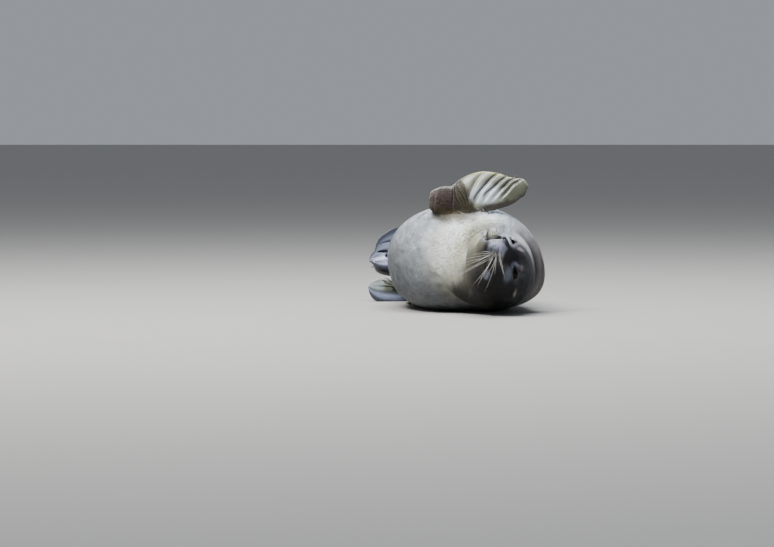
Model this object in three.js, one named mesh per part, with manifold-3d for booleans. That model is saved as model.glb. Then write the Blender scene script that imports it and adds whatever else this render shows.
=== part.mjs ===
// Harbor seal pup lying on its left side, head turned up, right foreflipper raised.
// Millimetres, +Z up.  Shapes are worked out in a working frame: X to the animal's back,
// Y towards its tail, Z up, floor at Z = 0; the finished group is moved to its base centre.

import * as THREE from 'three';
import Module from 'manifold-3d';

const wasm = await Module();
wasm.setup();

// ---------------------------------------------------------------- driving sizes
const GAP = 0.3;                 // width of the cuts that part the named pieces
const RING = 36;                 // vertices round the body
const HEAD_ROWS = 30;            // rings from the nose to the nape
const BLADE_RING = 20;           // vertices round a flipper, one for each digit and web
const POLE_DEPTH = 16;           // the first ray starts this far behind the nose tip
const RAY_REACH = 190;           // no part of the body is further than this from the spine
const TAIL_END = 790;            // length of the spine, nose to tail tip
const CUT_NAPE = 134;            // where head and neck part
const CUT_SHOULDER = 236;        // where neck and trunk part
const CUT_LOIN = 480;            // where trunk and hindquarters part
const CUT_TAIL = 700;            // where hindquarters and tail part

const NOSE = new THREE.Vector3(61.7, -120, 140.7);       // tip of the nose
const HEAD_FORWARD = new THREE.Vector3(0.08, -0.84, 0.535).normalize();
const HEAD_UP_HINT = new THREE.Vector3(1, 0.09, 0);

const EYE_CENTRE = [-74.6, 18.9, 27.0];                  // forward, up, side from the nose
const EYE_RADIUS = 14.5;
const EYE_LOOK = new THREE.Vector3(0.66, 0.42, 0.62).normalize();
const EYE_SLIT = new THREE.Vector3(-0.62, 0, 0.66).normalize();
const EYE_OPENING = [13.2, 5.2, 8.5];                    // half length, half height, half depth
const LID_THICKNESS = 1.5;

// Spine stations: distance along it, position, and which way the back faces.
const SPINE = [
  { s: 190, at: [46, 40, 86], up: [1, 0.1, -0.02] },
  { s: 270, at: [10, 120, 93], up: [1, 0.1, -0.03] },
  { s: 380, at: [-10, 230, 93], up: [1, 0.05, 0] },
  { s: 485, at: [-18, 335, 86], up: [1, 0.1, 0] },
  { s: 580, at: [-38, 430, 73], up: [1, 0.25, 0] },
  { s: 655, at: [-66, 500, 62], up: [1, 0.35, 0] },
  { s: 720, at: [-90, 560, 52], up: [1, 0.35, 0] },
  { s: 790, at: [-108, 626, 40], up: [1, 0.35, 0] },
];

// Body girth: distance along the spine, then reach to back, belly, right and left.
const GIRTH = [
  [60, 20, 26, 20, 20],
  [80, 32, 40, 40, 38],
  [100, 46, 54, 60, 52],
  [130, 62, 73, 80, 64],
  [150, 77, 87, 89, 69],
  [170, 92, 100, 95, 73],
  [200, 104, 117, 99, 80],
  [240, 118, 132, 102, 91],
  [290, 130, 140, 103, 98],
  [350, 134, 140, 102, 99],
  [420, 130, 133, 98, 97],
  [500, 114, 119, 90, 92],
  [570, 94, 98, 76, 79],
  [630, 74, 74, 62, 66],
  [680, 52, 50, 46, 48],
  [720, 30, 29, 26, 27],
  [750, 19, 19, 16, 16],
  [775, 13, 13, 10, 10],
  [790, 1.5, 1.5, 1.5, 1.5],
];

// Forms of the head in its own frame: centre, radii, blend, and whether it is paired.
const HEAD_FORMS = [
  { centre: [-110, 9, 0], radii: [59, 54, 63], blend: 0, paired: false },       // skull
  { centre: [-88, -17, 30], radii: [45, 34, 32], blend: 17, paired: true },     // cheeks
  { centre: [-86, -30, 0], radii: [52, 30, 44], blend: 15, paired: false },     // jaw
  { centre: [-46, -7, 0], radii: [43, 23, 30], blend: 18, paired: false },      // bridge
  { centre: [-36, -31, 0], radii: [29, 15, 22], blend: 9, paired: false },      // chin
  { centre: [-17.5, -17, 15.8], radii: [18, 15.8, 16], blend: 4, paired: true },  // pads
  { centre: [-15, -18, 0], radii: [12, 12, 10], blend: 4, paired: false },      // upper lip
  { centre: [-11, 0.5, 0], radii: [8.5, 6.5, 9.5], blend: 4, paired: false },   // nose
  { centre: [-76, 30, 20], radii: [14, 10, 14], blend: 10, paired: true },      // brows
];
const SHOULDER = { centre: [-36, 95, 139], radii: [56, 55, 52], blend: 26 };

// ---------------------------------------------------------------- small maths
const clamp = (x, a, b) => Math.min(b, Math.max(a, x));

function smoothstep(a, b, x) {
  const t = clamp((x - a) / (b - a), 0, 1);
  return t * t * (3 - 2 * t);
}

function smoothMin(a, b, k) {
  const h = clamp(0.5 + 0.5 * (b - a) / k, 0, 1);
  return b + (a - b) * h - k * h * (1 - h);
}

/** Cubic through stations; scalar series keep their rises and falls, with no overshoot. */
function slopes(keys, values) {
  const n = keys.length;
  const rise = [];
  for (let i = 0; i < n - 1; i += 1) rise.push((values[i + 1] - values[i]) / (keys[i + 1] - keys[i]));
  const m = [rise[0]];
  for (let i = 1; i < n - 1; i += 1) {
    const before = keys[i] - keys[i - 1];
    const after = keys[i + 1] - keys[i];
    const w1 = 2 * after + before;
    const w2 = after + 2 * before;
    const level = rise[i - 1] * rise[i] <= 0;
    m.push(level ? 0 : (w1 + w2) / (w1 / rise[i - 1] + w2 / rise[i]));
  }
  m.push(rise[n - 2]);
  return m;
}

function freeSlopes(keys, values) {
  const n = keys.length;
  const rise = [];
  for (let i = 0; i < n - 1; i += 1) rise.push((values[i + 1] - values[i]) / (keys[i + 1] - keys[i]));
  const m = [rise[0]];
  for (let i = 1; i < n - 1; i += 1) {
    const before = keys[i] - keys[i - 1];
    const after = keys[i + 1] - keys[i];
    m.push((rise[i - 1] * after + rise[i] * before) / (before + after));
  }
  m.push(rise[n - 2]);
  return m;
}

function series(keys, values, slopeRule = slopes) {
  const m = slopeRule(keys, values);
  return (x) => {
    const at = clamp(x, keys[0], keys[keys.length - 1]);
    let i = 0;
    while (i < keys.length - 2 && at >= keys[i + 1]) i += 1;
    const h = keys[i + 1] - keys[i];
    const t = (at - keys[i]) / h;
    const u = 1 - t;
    return values[i] * (1 + 2 * t) * u * u + m[i] * h * t * u * u
      + values[i + 1] * t * t * (3 - 2 * t) + m[i + 1] * h * t * t * (t - 1);
  };
}

function pathSeries(keys, points) {
  const axes = [0, 1, 2].map((k) => series(keys, points.map((p) => p[k]), freeSlopes));
  return (x) => new THREE.Vector3(axes[0](x), axes[1](x), axes[2](x));
}

const triple = (v) => [v.x, v.y, v.z];
const across = (v, axis) => v.clone().addScaledVector(axis, -v.dot(axis)).normalize();

/** Near-distance to an ellipsoid, negative inside. */
function ellipsoid(p, centre, radii) {
  let near = 0;
  let far = 0;
  for (let k = 0; k < 3; k += 1) {
    const q = (p[k] - centre[k]) / radii[k];
    near += q * q;
    far += (q / radii[k]) ** 2;
  }
  const k0 = Math.sqrt(near);
  return k0 * (k0 - 1) / Math.max(Math.sqrt(far), 1e-9);
}

// ---------------------------------------------------------------- head frame and spine
const HEAD_UP = across(HEAD_UP_HINT, HEAD_FORWARD);
const HEAD_LEFT = HEAD_UP.clone().cross(HEAD_FORWARD);

function fromHead(f, u, side) {
  return NOSE.clone().addScaledVector(HEAD_FORWARD, f).addScaledVector(HEAD_UP, u)
    .addScaledVector(HEAD_LEFT, side);
}

function toHead(p) {
  const q = p.clone().sub(NOSE);
  return [q.dot(HEAD_FORWARD), q.dot(HEAD_UP), q.dot(HEAD_LEFT)];
}

const spineKeys = [0, 121, ...SPINE.map((k) => k.s)];
const spineAt = pathSeries(spineKeys, [
  triple(fromHead(-10, -13, 0)), triple(fromHead(-130, 2, 0)), ...SPINE.map((k) => k.at),
]);
const upAt = pathSeries(spineKeys, [
  triple(HEAD_UP), triple(HEAD_UP),
  ...SPINE.map((k) => triple(new THREE.Vector3(...k.up).normalize())),
]);
const girth = [1, 2, 3, 4].map((k) => series(GIRTH.map((g) => g[0]), GIRTH.map((g) => g[k])));

/** Forward, up (to the back) and left at a distance along the spine. */
function frameAt(s) {
  const reach = 25;
  const run = spineAt(Math.min(s + reach, TAIL_END)).sub(spineAt(Math.max(s - reach, 0))).normalize();
  const w = smoothstep(30, 300, s);
  const forward = HEAD_FORWARD.clone().multiplyScalar(1 - w).addScaledVector(run, -w).normalize();
  const up = across(upAt(s), forward);
  return { forward, up, left: up.clone().cross(forward) };
}

// ---------------------------------------------------------------- the body as one field
/** The girth profile at s, as near-distance from a point u to the back and v to the left. */
function girthField(s, u, v) {
  const sag = 0.0014 * smoothstep(140, 190, s) * (1 - smoothstep(350, 600, s));
  const side = v - sag * Math.max(u, 0) ** 2;
  const r = Math.hypot(u, side) + 1e-6;
  const reachU = u > 0 ? girth[0](s) : girth[1](s);
  const reachV = side > 0 ? girth[3](s) : girth[2](s);
  const square = smoothstep(0, 1, -u / r) * smoothstep(0, 1, side / r) * smoothstep(170, 240, s);
  const n = 2.1 + 1.2 * square;
  const k = ((Math.abs(u) / reachU) ** n + (Math.abs(side) / reachV) ** n) ** (1 / n);
  return r * (1 - 1 / Math.max(k, 1e-6));
}

function headField(h) {
  const mirrored = [h[0], h[1], Math.abs(h[2])];
  let field = Infinity;
  for (const form of HEAD_FORMS) {
    const d = ellipsoid(form.paired ? mirrored : h, form.centre, form.radii);
    field = field === Infinity ? d : smoothMin(field, d, form.blend);
  }
  const eye = new THREE.Vector3(...mirrored).sub(new THREE.Vector3(...EYE_CENTRE));
  if (eye.dot(EYE_LOOK) > -5) {
    field = smoothMin(field, eye.length() - EYE_RADIUS - LID_THICKNESS, 3.5);
  }
  return field;
}

/** Grooves of the lips and the hollow of the ear, in mm added to the field. */
function grooves([f, u, side]) {
  const s = Math.abs(side);
  const cleft = 1.6 * Math.exp(-((s / 2.4) ** 2)) * smoothstep(-36, -28, u)
    * (1 - smoothstep(-7, -1, u)) * smoothstep(-30, -16, f);
  const lipLine = -31.5 + 0.1 * s - 0.1 * Math.min(f + 20, 0);
  const mouth = 2.6 * Math.exp(-(((u - lipLine) / 3) ** 2)) * smoothstep(-70, -58, f)
    * smoothstep(6, 2, f);
  return cleft + mouth;
}

function bodyField(p, s, u, v) {
  const h = toHead(p);
  const trunk = s >= 60 ? girthField(s, u, v) : 500;
  const shoulder = ellipsoid(triple(p), SHOULDER.centre, SHOULDER.radii);
  return smoothMin(smoothMin(trunk, headField(h), 16), shoulder, SHOULDER.blend) + grooves(h);
}

/** Point where the ray at (s, tilt, turn) leaves the body, found from outside inwards. */
function surfacePoint(s, tilt, turn, grow) {
  const start = spineAt(s);
  const { forward, up, left } = frameAt(s);
  const ray = forward.clone().multiplyScalar(Math.cos(tilt))
    .addScaledVector(up, Math.sin(tilt) * Math.cos(turn))
    .addScaledVector(left, Math.sin(tilt) * Math.sin(turn));
  const field = (r) => {
    const p = start.clone().addScaledVector(ray, r);
    return bodyField(p, s, r * Math.sin(tilt) * Math.cos(turn), r * Math.sin(tilt) * Math.sin(turn));
  };
  let outer = RAY_REACH;
  let inner = outer - 4;
  while (inner > 0 && field(inner) > 0) {
    outer = inner;
    inner -= 4;
  }
  for (let k = 0; k < 14; k += 1) {
    const middle = (outer + inner) / 2;
    if (field(middle) > 0) outer = middle;
    else inner = middle;
  }
  const p = start.addScaledVector(ray, (outer + inner) / 2 + grow);
  p.z = Math.max(p.z, grow > 0 ? -5 : 0);
  return p;
}

// ---------------------------------------------------------------- meshes
function solid(vertices, faces) {
  const mesh = new wasm.Mesh({
    numProp: 3,
    vertProperties: new Float32Array(vertices.flatMap((v) => triple(v))),
    triVerts: new Uint32Array(faces.flat()),
  });
  return new wasm.Manifold(mesh);
}

/** Closed skin over rings of equal count, with a cap point at each end. */
function skinOver(rings, first, last) {
  const n = rings[0].length;
  const vertices = [first, ...rings.flat(), last];
  const end = vertices.length - 1;
  const faces = [];
  for (let j = 0; j < n; j += 1) {
    const k = (j + 1) % n;
    faces.push([0, 1 + k, 1 + j]);
    faces.push([end, 1 + (rings.length - 1) * n + j, 1 + (rings.length - 1) * n + k]);
    for (let i = 0; i < rings.length - 1; i += 1) {
      const a = 1 + i * n;
      const b = a + n;
      faces.push([a + j, a + k, b + j]);
      faces.push([a + k, b + k, b + j]);
    }
  }
  return solid(vertices, faces);
}

function ringAt(s, tilt, grow, count = RING) {
  const ring = [];
  for (let j = 0; j < count; j += 1) {
    ring.push(surfacePoint(s, tilt, j / count * 2 * Math.PI, grow));
  }
  return ring;
}

/** Rows from the nose back: distance along the spine and tilt of the rays. */
function headRows(to) {
  const rows = [];
  const spread = smoothstep(0.1, 1.25, 1);
  for (let i = 1; i <= HEAD_ROWS; i += 1) {
    const k = i / HEAD_ROWS;
    const s = POLE_DEPTH + (to - POLE_DEPTH) * smoothstep(0.1, 1.25, k) / spread
      - (to - POLE_DEPTH) * smoothstep(0.1, 1.25, 0) / spread;
    rows.push({ s, tilt: Math.PI / 2 * Math.min(1, k / 0.42) ** 0.9 });
  }
  return rows;
}

function bodyRows(from, to, step) {
  const count = Math.max(2, Math.round((to - from) / step));
  return Array.from({ length: count + 1 }, (_, i) => ({
    s: from + (to - from) * i / count,
    tilt: Math.PI / 2,
  }));
}

function bodyPiece(rows, grow, nosePole, tailPole, count = RING) {
  const rings = rows.map((row) => ringAt(row.s, row.tilt, grow, count));
  const first = nosePole ? surfacePoint(POLE_DEPTH, 0, 0, grow) : spineAt(rows[0].s);
  const tip = frameAt(TAIL_END).forward.multiplyScalar(-2 - grow);
  const last = tailPole ? spineAt(TAIL_END).add(tip) : spineAt(rows[rows.length - 1].s);
  return skinOver(rings, first, last);
}

// ---------------------------------------------------------------- flippers
/** A flipper's middle line, with half width, half thickness and axes at any length. */
function bladeOf({ stations, edge }) {
  const points = stations.map((k) => new THREE.Vector3(...k.at));
  const keys = [0];
  for (let i = 1; i < points.length; i += 1) {
    keys.push(keys[i - 1] + points[i].distanceTo(points[i - 1]));
  }
  const length = keys[keys.length - 1];
  const path = pathSeries(keys, points.map(triple));
  const wide = series(keys, stations.map((k) => k.wide), freeSlopes);
  const thick = series(keys, stations.map((k) => k.thick), freeSlopes);
  const edgeWay = new THREE.Vector3(...edge);
  const section = (s) => {
    const run = path(Math.min(s + 5, length)).sub(path(Math.max(s - 5, 0))).normalize();
    const side = across(edgeWay, run);
    return { middle: path(s), run, side, face: run.clone().cross(side), wide: wide(s), thick: thick(s) };
  };
  return { length, path, section };
}

/** Point on the blade at a share of its length and a turn round its section. */
function bladePoint(blade, form, t, turn, grow) {
  const { middle, side, face, wide, thick } = blade.section(t * blade.length);
  const c = Math.cos(turn);
  const sn = Math.sin(turn);
  const swell = form.swell ? form.swell(t, c, sn) : 1;
  const cup = form.cup ? form.cup(t, c) : 0;
  return middle.addScaledVector(side, (wide + grow) * c)
    .addScaledVector(face, (thick * swell + grow) * sn + cup);
}

/** Turn of a blade's ring vertex: even round the limb, on digits and webs in the hand. */
function bladeTurn(j, t) {
  const even = j / BLADE_RING * 2 * Math.PI;
  const c = 1 - 2 * (j % (BLADE_RING / 2)) / (BLADE_RING / 2);
  const onDigits = j < BLADE_RING / 2 ? Math.acos(c) : Math.PI + Math.acos(c);
  const hand = smoothstep(0.2, 0.4, t);
  return even + (onDigits - even) * hand;
}

function flipper(spec, grow = 0) {
  const blade = bladeOf(spec);
  const rings = [];
  for (let i = 1; i < spec.rows; i += 1) {
    const even = i / spec.rows;
    const t = 0.55 * (0.5 - 0.5 * Math.cos(Math.PI * even)) + 0.45 * even;
    const ring = [];
    for (let j = 0; j < BLADE_RING; j += 1) {
      const p = bladePoint(blade, spec.form, t, bladeTurn(j, t), grow);
      p.z = Math.max(p.z, grow > 0 ? -5 : 0);
      ring.push(p);
    }
    rings.push(ring);
  }
  return skinOver(rings, blade.path(0), blade.path(blade.length));
}

/** A claw on the far face of a digit: a hooked cone whose root is sunk in the blade. */
function claw(spec, [t, c]) {
  const blade = bladeOf(spec);
  const { run, side, face } = blade.section(t * blade.length);
  const turn = Math.acos(c) * spec.claws.face;
  const [along, sideways, out] = spec.claws.way;
  const way = run.clone().multiplyScalar(along).addScaledVector(side, sideways)
    .addScaledVector(face, out * spec.claws.face).normalize();
  const lift = face.clone().multiplyScalar(spec.claws.face);
  const root = bladePoint(blade, spec.form, t, turn, 0).addScaledVector(way, -CLAW.sunk);
  const round = across(lift, way);
  const level = way.clone().cross(round);
  const rings = [];
  for (let i = 0; i < 3; i += 1) {
    const k = i / 2;
    const radius = CLAW.root + (CLAW.tip - CLAW.root) * k;
    const middle = root.clone().addScaledVector(way, CLAW.length * k)
      .addScaledVector(round, -CLAW.hook * k * k);
    const ring = [];
    for (let j = 0; j < 5; j += 1) {
      const turnAt = j / 5 * 2 * Math.PI;
      const p = middle.clone().addScaledVector(round, radius * Math.cos(turnAt))
        .addScaledVector(level, radius * 0.8 * Math.sin(turnAt));
      p.z = Math.max(p.z, CLAW.floor);
      ring.push(p);
    }
    rings.push(ring);
  }
  const tip = root.clone().addScaledVector(way, CLAW.length + 1)
    .addScaledVector(round, -CLAW.hook * 1.1);
  tip.z = Math.max(tip.z, CLAW.floor);
  return skinOver(rings, root.clone(), tip);
}

/** Five ridges across the hand, the same along its length. */
const fanned = (from, depth) => (t, c, sn) => {
  const fan = smoothstep(from, from + 0.15, t) * (1 - smoothstep(0.93, 1, t));
  return 1 + depth * fan * Math.cos(5 * Math.PI * (c + 1) + Math.PI) * (sn > 0 ? 1 : 0.4);
};

/** Digits that sweep from the leading edge to the trailing edge, parted by slanting webs. */
const swept = (from, depth, webs) => (t, c, sn) => {
  const fan = smoothstep(from, from + 0.12, t) * (1 - smoothstep(0.93, 1, t));
  const along = t + c / 6;
  const web = webs.reduce((sum, at) => sum + Math.exp(-(((along - at) / 0.022) ** 2)), 0);
  const open = 1 - smoothstep(0.25, 0.7, c);
  return 1 + depth * fan * (1 - 2 * Math.min(web, 1) * open) * (sn > 0 ? 0.6 : 1);
};

const FLIPPERS = {
  foreflipper_right: {
    stations: [
      { at: [-71, 67, 205], wide: 1, thick: 1.5 },
      { at: [-69, 67, 205], wide: 13.5, thick: 11 },
      { at: [-61, 66, 204], wide: 22, thick: 17 },
      { at: [-45, 64, 203], wide: 28.5, thick: 19.5 },
      { at: [-26, 63, 202], wide: 30.5, thick: 18 },
      { at: [-10, 61, 206], wide: 34.5, thick: 14.5 },
      { at: [5, 60, 213], wide: 38, thick: 11 },
      { at: [27, 59, 220], wide: 39.5, thick: 8.8 },
      { at: [50, 57, 222], wide: 36, thick: 7.2 },
      { at: [74, 56, 223], wide: 28.5, thick: 6 },
      { at: [92, 55, 227], wide: 20.5, thick: 5 },
      { at: [107, 53, 231], wide: 11.3, thick: 3.8 },
      { at: [112, 53, 231], wide: 1.4, thick: 1.2 },
    ],
    edge: [0.25, -0.28, -0.93],
    rows: 17,
    form: { swell: swept(0.35, 0.2, [0.42, 0.53, 0.63, 0.72, 0.8]) },
    claws: { places: [[0.63, -0.9], [0.71, -0.9], [0.79, -0.88], [0.87, -0.82], [0.94, -0.6]],
      way: [0.55, -0.8, 0.3], face: 1 },
  },
  foreflipper_left: {
    stations: [
      { at: [-20, 96, 10], wide: 3, thick: 3 },
      { at: [-26, 106, 10], wide: 13, thick: 9 },
      { at: [-42, 135, 9], wide: 21, thick: 9.5 },
      { at: [-58, 165, 10], wide: 26, thick: 9 },
      { at: [-74, 196, 10], wide: 29, thick: 8 },
      { at: [-88, 224, 10], wide: 25, thick: 6.5 },
      { at: [-96, 242, 9.5], wide: 14, thick: 5 },
      { at: [-99, 248, 9.5], wide: 1, thick: 1.2 },
    ],
    edge: [-0.9, -0.4, 0.1],
    rows: 14,
    form: { swell: fanned(0.4, 0.2) },
    claws: { places: [[0.8, 0.9], [0.87, 0.8], [0.92, 0.55], [0.93, 0.15], [0.92, -0.3]],
      way: [0.95, 0, 0.1], face: -1 },
    beddedIn: ['neck', 'trunk'],
  },
  hind_flipper_right: {
    stations: [
      { at: [-63, 580, 83], wide: 11.8, thick: 12 },
      { at: [-83, 555, 85], wide: 24.5, thick: 20 },
      { at: [-102, 530, 87], wide: 39, thick: 20 },
      { at: [-122, 510, 92], wide: 49.8, thick: 19 },
      { at: [-140, 498, 88], wide: 44.3, thick: 19.5 },
      { at: [-155, 490, 82], wide: 36.7, thick: 18.5 },
      { at: [-169, 485, 79], wide: 23.8, thick: 14 },
      { at: [-176, 483, 79], wide: 11.7, thick: 9 },
      { at: [-182, 483, 77], wide: 1.5, thick: 1.5 },
    ],
    edge: [0.1, 0, -1],
    rows: 14,
    form: {
      swell: (t, c, sn) => (0.3 + 0.7 * smoothstep(-0.3, 0.35, c)) * fanned(0.3, 0.25)(t, c, sn),
    },
    claws: { places: [[0.8, -0.6], [0.86, -0.45], [0.9, -0.2], [0.92, 0.15], [0.9, 0.5]],
      way: [0.95, 0, 0.1], face: -1 },
  },
  hind_flipper_left: {
    stations: [
      { at: [-63, 580, 22], wide: 8, thick: 10 },
      { at: [-83, 545, 20], wide: 16, thick: 17 },
      { at: [-103, 500, 18], wide: 22, thick: 17 },
      { at: [-122, 465, 18], wide: 26, thick: 16 },
      { at: [-142, 453, 20], wide: 26.5, thick: 15 },
      { at: [-161, 447, 23], wide: 24.5, thick: 13 },
      { at: [-173, 444, 26], wide: 18.4, thick: 9.5 },
      { at: [-180, 443, 28], wide: 9.9, thick: 6 },
      { at: [-184, 443, 29], wide: 1, thick: 1.2 },
    ],
    edge: [0.1, 0, -1],
    rows: 14,
    form: {
      swell: (t, c, sn) => (0.32 + 0.45 * smoothstep(0.25, 0.8, c)) * fanned(0.3, 0.25)(t, c, sn),
      cup: (t, c) => 13 * (1 - c * c) * Math.sin(Math.PI * clamp(1.1 * t, 0, 1)),
    },
    claws: { places: [[0.8, -0.6], [0.86, -0.45], [0.9, -0.2], [0.92, 0.15], [0.9, 0.5]],
      way: [0.95, 0, 0.1], face: -1 },
  },
};
const CLAW = { length: 13, root: 1.9, tip: 0.5, hook: 2.2, sunk: 3, floor: 0.5 };

// ---------------------------------------------------------------- eyes
/** Almond in a side's eye opening, as a stretched ball; `shrink` takes it in all round. */
function almond(sign, shrink) {
  const ball = new THREE.SphereGeometry(1, 14, 8);
  const up = EYE_SLIT.clone().cross(EYE_LOOK);
  const [long, high, deep] = EYE_OPENING.map((r) => r - shrink);
  const place = ([x, y, z]) => {
    const q = new THREE.Vector3(...EYE_CENTRE).addScaledVector(EYE_LOOK, EYE_RADIUS - 1 + z * deep)
      .addScaledVector(EYE_SLIT, x * long).addScaledVector(up, y * high);
    return fromHead(q.x, q.y, q.z * sign);
  };
  return ballSolid(ball, place);
}

function eyeball(sign) {
  const place = ([x, y, z]) => fromHead(
    EYE_CENTRE[0] + x * EYE_RADIUS,
    EYE_CENTRE[1] + y * EYE_RADIUS,
    (EYE_CENTRE[2] + z * EYE_RADIUS) * sign,
  );
  return ballSolid(new THREE.SphereGeometry(1, 20, 14), place);
}

/** A sphere geometry's corners, welded and sent through a placing function. */
function ballSolid(ball, place) {
  const at = ball.getAttribute('position');
  const keys = new Map();
  const vertices = [];
  const remap = [];
  for (let i = 0; i < at.count; i += 1) {
    const unit = [at.getX(i), at.getY(i), at.getZ(i)];
    const key = unit.map((x) => x.toFixed(5).replace('-0.00000', '0.00000')).join();
    if (!keys.has(key)) {
      keys.set(key, vertices.length);
      vertices.push(place(unit));
    }
    remap.push(keys.get(key));
  }
  const faces = [];
  const index = ball.getIndex();
  for (let i = 0; i < index.count; i += 3) {
    const face = [0, 1, 2].map((k) => remap[index.getX(i + k)]);
    if (new Set(face).size === 3) faces.push(face);
  }
  const made = solid(vertices, faces);
  return made.volume() > 0 ? made : solid(vertices, faces.map(([a, b, c]) => [a, c, b]));
}

// ---------------------------------------------------------------- assembly
const largest = (made) => made.decompose().sort((a, b) => b.volume() - a.volume())[0];

const half = GAP / 2;
const BODY_PARTS = [
  ['head', headRows(CUT_NAPE - half)],
  ['neck', bodyRows(CUT_NAPE + half, CUT_SHOULDER - half, 14)],
  ['trunk', bodyRows(CUT_SHOULDER + half, CUT_LOIN - half, 22)],
  ['hindquarters', bodyRows(CUT_LOIN + half, CUT_TAIL - half, 24)],
  ['tail', bodyRows(CUT_TAIL + half, TAIL_END, 20)],
];
const pieces = new Map();
for (const [name, rows] of BODY_PARTS) {
  pieces.set(name, bodyPiece(rows, 0, name === 'head', name === 'tail'));
}
const swollen = bodyPiece(BODY_PARTS.flatMap(([, rows]) => rows), GAP, true, true);

for (const [name, sign] of [['left', 1], ['right', -1]]) {
  const hollow = almond(sign, 0);
  pieces.set('head', largest(pieces.get('head').subtract(hollow)));
  pieces.set(`eye_${name}`, largest(eyeball(sign).intersect(almond(sign, GAP))));
}

for (const [name, spec] of Object.entries(FLIPPERS)) {
  const clear = flipper(spec, GAP);
  const bed = spec.beddedIn ?? [];
  for (const part of bed) pieces.set(part, largest(pieces.get(part).subtract(clear)));
  pieces.set(name, bed.length ? flipper(spec) : largest(flipper(spec).subtract(swollen)));
  spec.claws.places.forEach((place, i) => {
    const free = claw(spec, place).subtract(clear).subtract(swollen);
    pieces.set(`claw_${name}_${i + 1}`, largest(free));
  });
}

const COAT = new THREE.MeshStandardMaterial({ color: 0xa9aeb0, roughness: 0.85 });
const HIDE = new THREE.MeshStandardMaterial({ color: 0x3a3d46, roughness: 0.45 });
const HORN = new THREE.MeshStandardMaterial({ color: 0x2b2620, roughness: 0.4 });
const EYE = new THREE.MeshStandardMaterial({ color: 0x07080b, roughness: 0.05 });

function materialFor(name) {
  if (name.startsWith('eye')) return EYE;
  if (name.startsWith('claw')) return HORN;
  return name.startsWith('hind_flipper') ? HIDE : COAT;
}

function toMesh(name, made) {
  const { vertProperties, triVerts } = made.getMesh();
  const geometry = new THREE.BufferGeometry();
  geometry.setAttribute('position', new THREE.BufferAttribute(new Float32Array(vertProperties), 3));
  geometry.setIndex(new THREE.BufferAttribute(new Uint32Array(triVerts), 1));
  const mesh = new THREE.Mesh(geometry, materialFor(name));
  mesh.name = name;
  return mesh;
}

const seal = new THREE.Group();
seal.name = 'harbor_seal_pup';
for (const [name, made] of pieces) seal.add(toMesh(name, made));

const bounds = new THREE.Box3().setFromObject(seal);
const middle = bounds.getCenter(new THREE.Vector3());
for (const mesh of seal.children) mesh.geometry.translate(-middle.x, -middle.y, -bounds.min.z);

export default seal;
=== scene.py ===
"""Harbor seal pup lying on its left side: one skin with its coat, eyes, whiskers and claws.

Shapes are worked out in millimetres in a working frame, with X to the animal's back, Y towards
its tail, Z up and the floor at Z = 0.  `Working.to_frame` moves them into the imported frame.
"""

import logging
import math
from dataclasses import dataclass, field
from enum import Enum

import bpy
import numpy as np
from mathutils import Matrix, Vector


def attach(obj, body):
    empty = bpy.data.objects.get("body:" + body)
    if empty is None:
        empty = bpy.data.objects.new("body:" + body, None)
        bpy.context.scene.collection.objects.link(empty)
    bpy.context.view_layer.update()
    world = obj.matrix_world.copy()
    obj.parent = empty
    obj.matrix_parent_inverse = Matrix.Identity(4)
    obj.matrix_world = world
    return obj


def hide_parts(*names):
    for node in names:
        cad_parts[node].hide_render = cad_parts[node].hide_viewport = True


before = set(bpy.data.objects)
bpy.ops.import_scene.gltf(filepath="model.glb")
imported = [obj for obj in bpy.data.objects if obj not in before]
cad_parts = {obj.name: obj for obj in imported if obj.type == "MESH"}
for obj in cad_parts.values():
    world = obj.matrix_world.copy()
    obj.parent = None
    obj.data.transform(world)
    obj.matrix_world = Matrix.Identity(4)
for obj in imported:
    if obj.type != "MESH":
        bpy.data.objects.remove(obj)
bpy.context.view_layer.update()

logging.basicConfig(level=logging.INFO, format="%(message)s")
LOG = logging.getLogger("seal")

Array = np.ndarray
TAU = 2.0 * math.pi


# ---- small maths
def ramp(a: float, b: float, x: Array) -> Array:
    """Smooth step: 3t^2 - 2t^3 with t the share of the way from a to b, held to 0..1."""
    t = np.clip((np.asarray(x, float) - a) / (b - a), 0.0, 1.0)
    return t * t * (3.0 - 2.0 * t)


def smooth_min(a: Array, b: Array, k: float) -> Array:
    """Smaller of a and b, with the corner rounded off over a width of k."""
    h = np.clip(0.5 + 0.5 * (b - a) / k, 0.0, 1.0)
    return b + (a - b) * h - k * h * (1.0 - h)


def bell(x: Array, width: float) -> Array:
    """Bell curve: e to the power of minus (x / width) squared."""
    return np.exp(-((np.asarray(x, float) / width) ** 2))


def unit(v: Array) -> Array:
    """Vectors along the last axis, divided by their lengths."""
    v = np.asarray(v, float)
    return v / np.maximum(np.linalg.norm(v, axis=-1, keepdims=True), 1e-12)


def dot(a: Array, b: Array) -> Array:
    """Dot product along the last axis, which is kept with length 1."""
    return np.sum(a * b, axis=-1, keepdims=True)


def ellipsoid(p: Array, centre: tuple, radii: tuple) -> Array:
    """Near-distance to an ellipsoid: k0 (k0 - 1) / k1, with k0 the scaled radius and k1 its slope.

    Args:
        p: points.
        centre: middle of the ellipsoid.
        radii: its half axes.

    Returns:
        The near-distance of each point, negative inside.
    """
    q = (p - np.array(centre, float)) / np.array(radii, float)
    k0 = np.linalg.norm(q, axis=-1)
    k1 = np.linalg.norm(q / np.array(radii, float), axis=-1)
    return k0 * (k0 - 1.0) / np.maximum(k1, 1e-9)


def srgb(red: int, green: int, blue: int) -> Array:
    """Linear colour of a display colour given in steps from 0 to 255."""
    c = np.array([red, green, blue], float) / 255.0
    return np.where(c <= 0.04045, c / 12.92, ((c + 0.055) / 1.055) ** 2.4)


def paint(colour: tuple, scale: float = 1.0) -> tuple:
    """A display colour, lightened or darkened by a scale, as the four numbers of a socket."""
    return tuple(srgb(*colour) * scale) + (1.0,)


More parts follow.
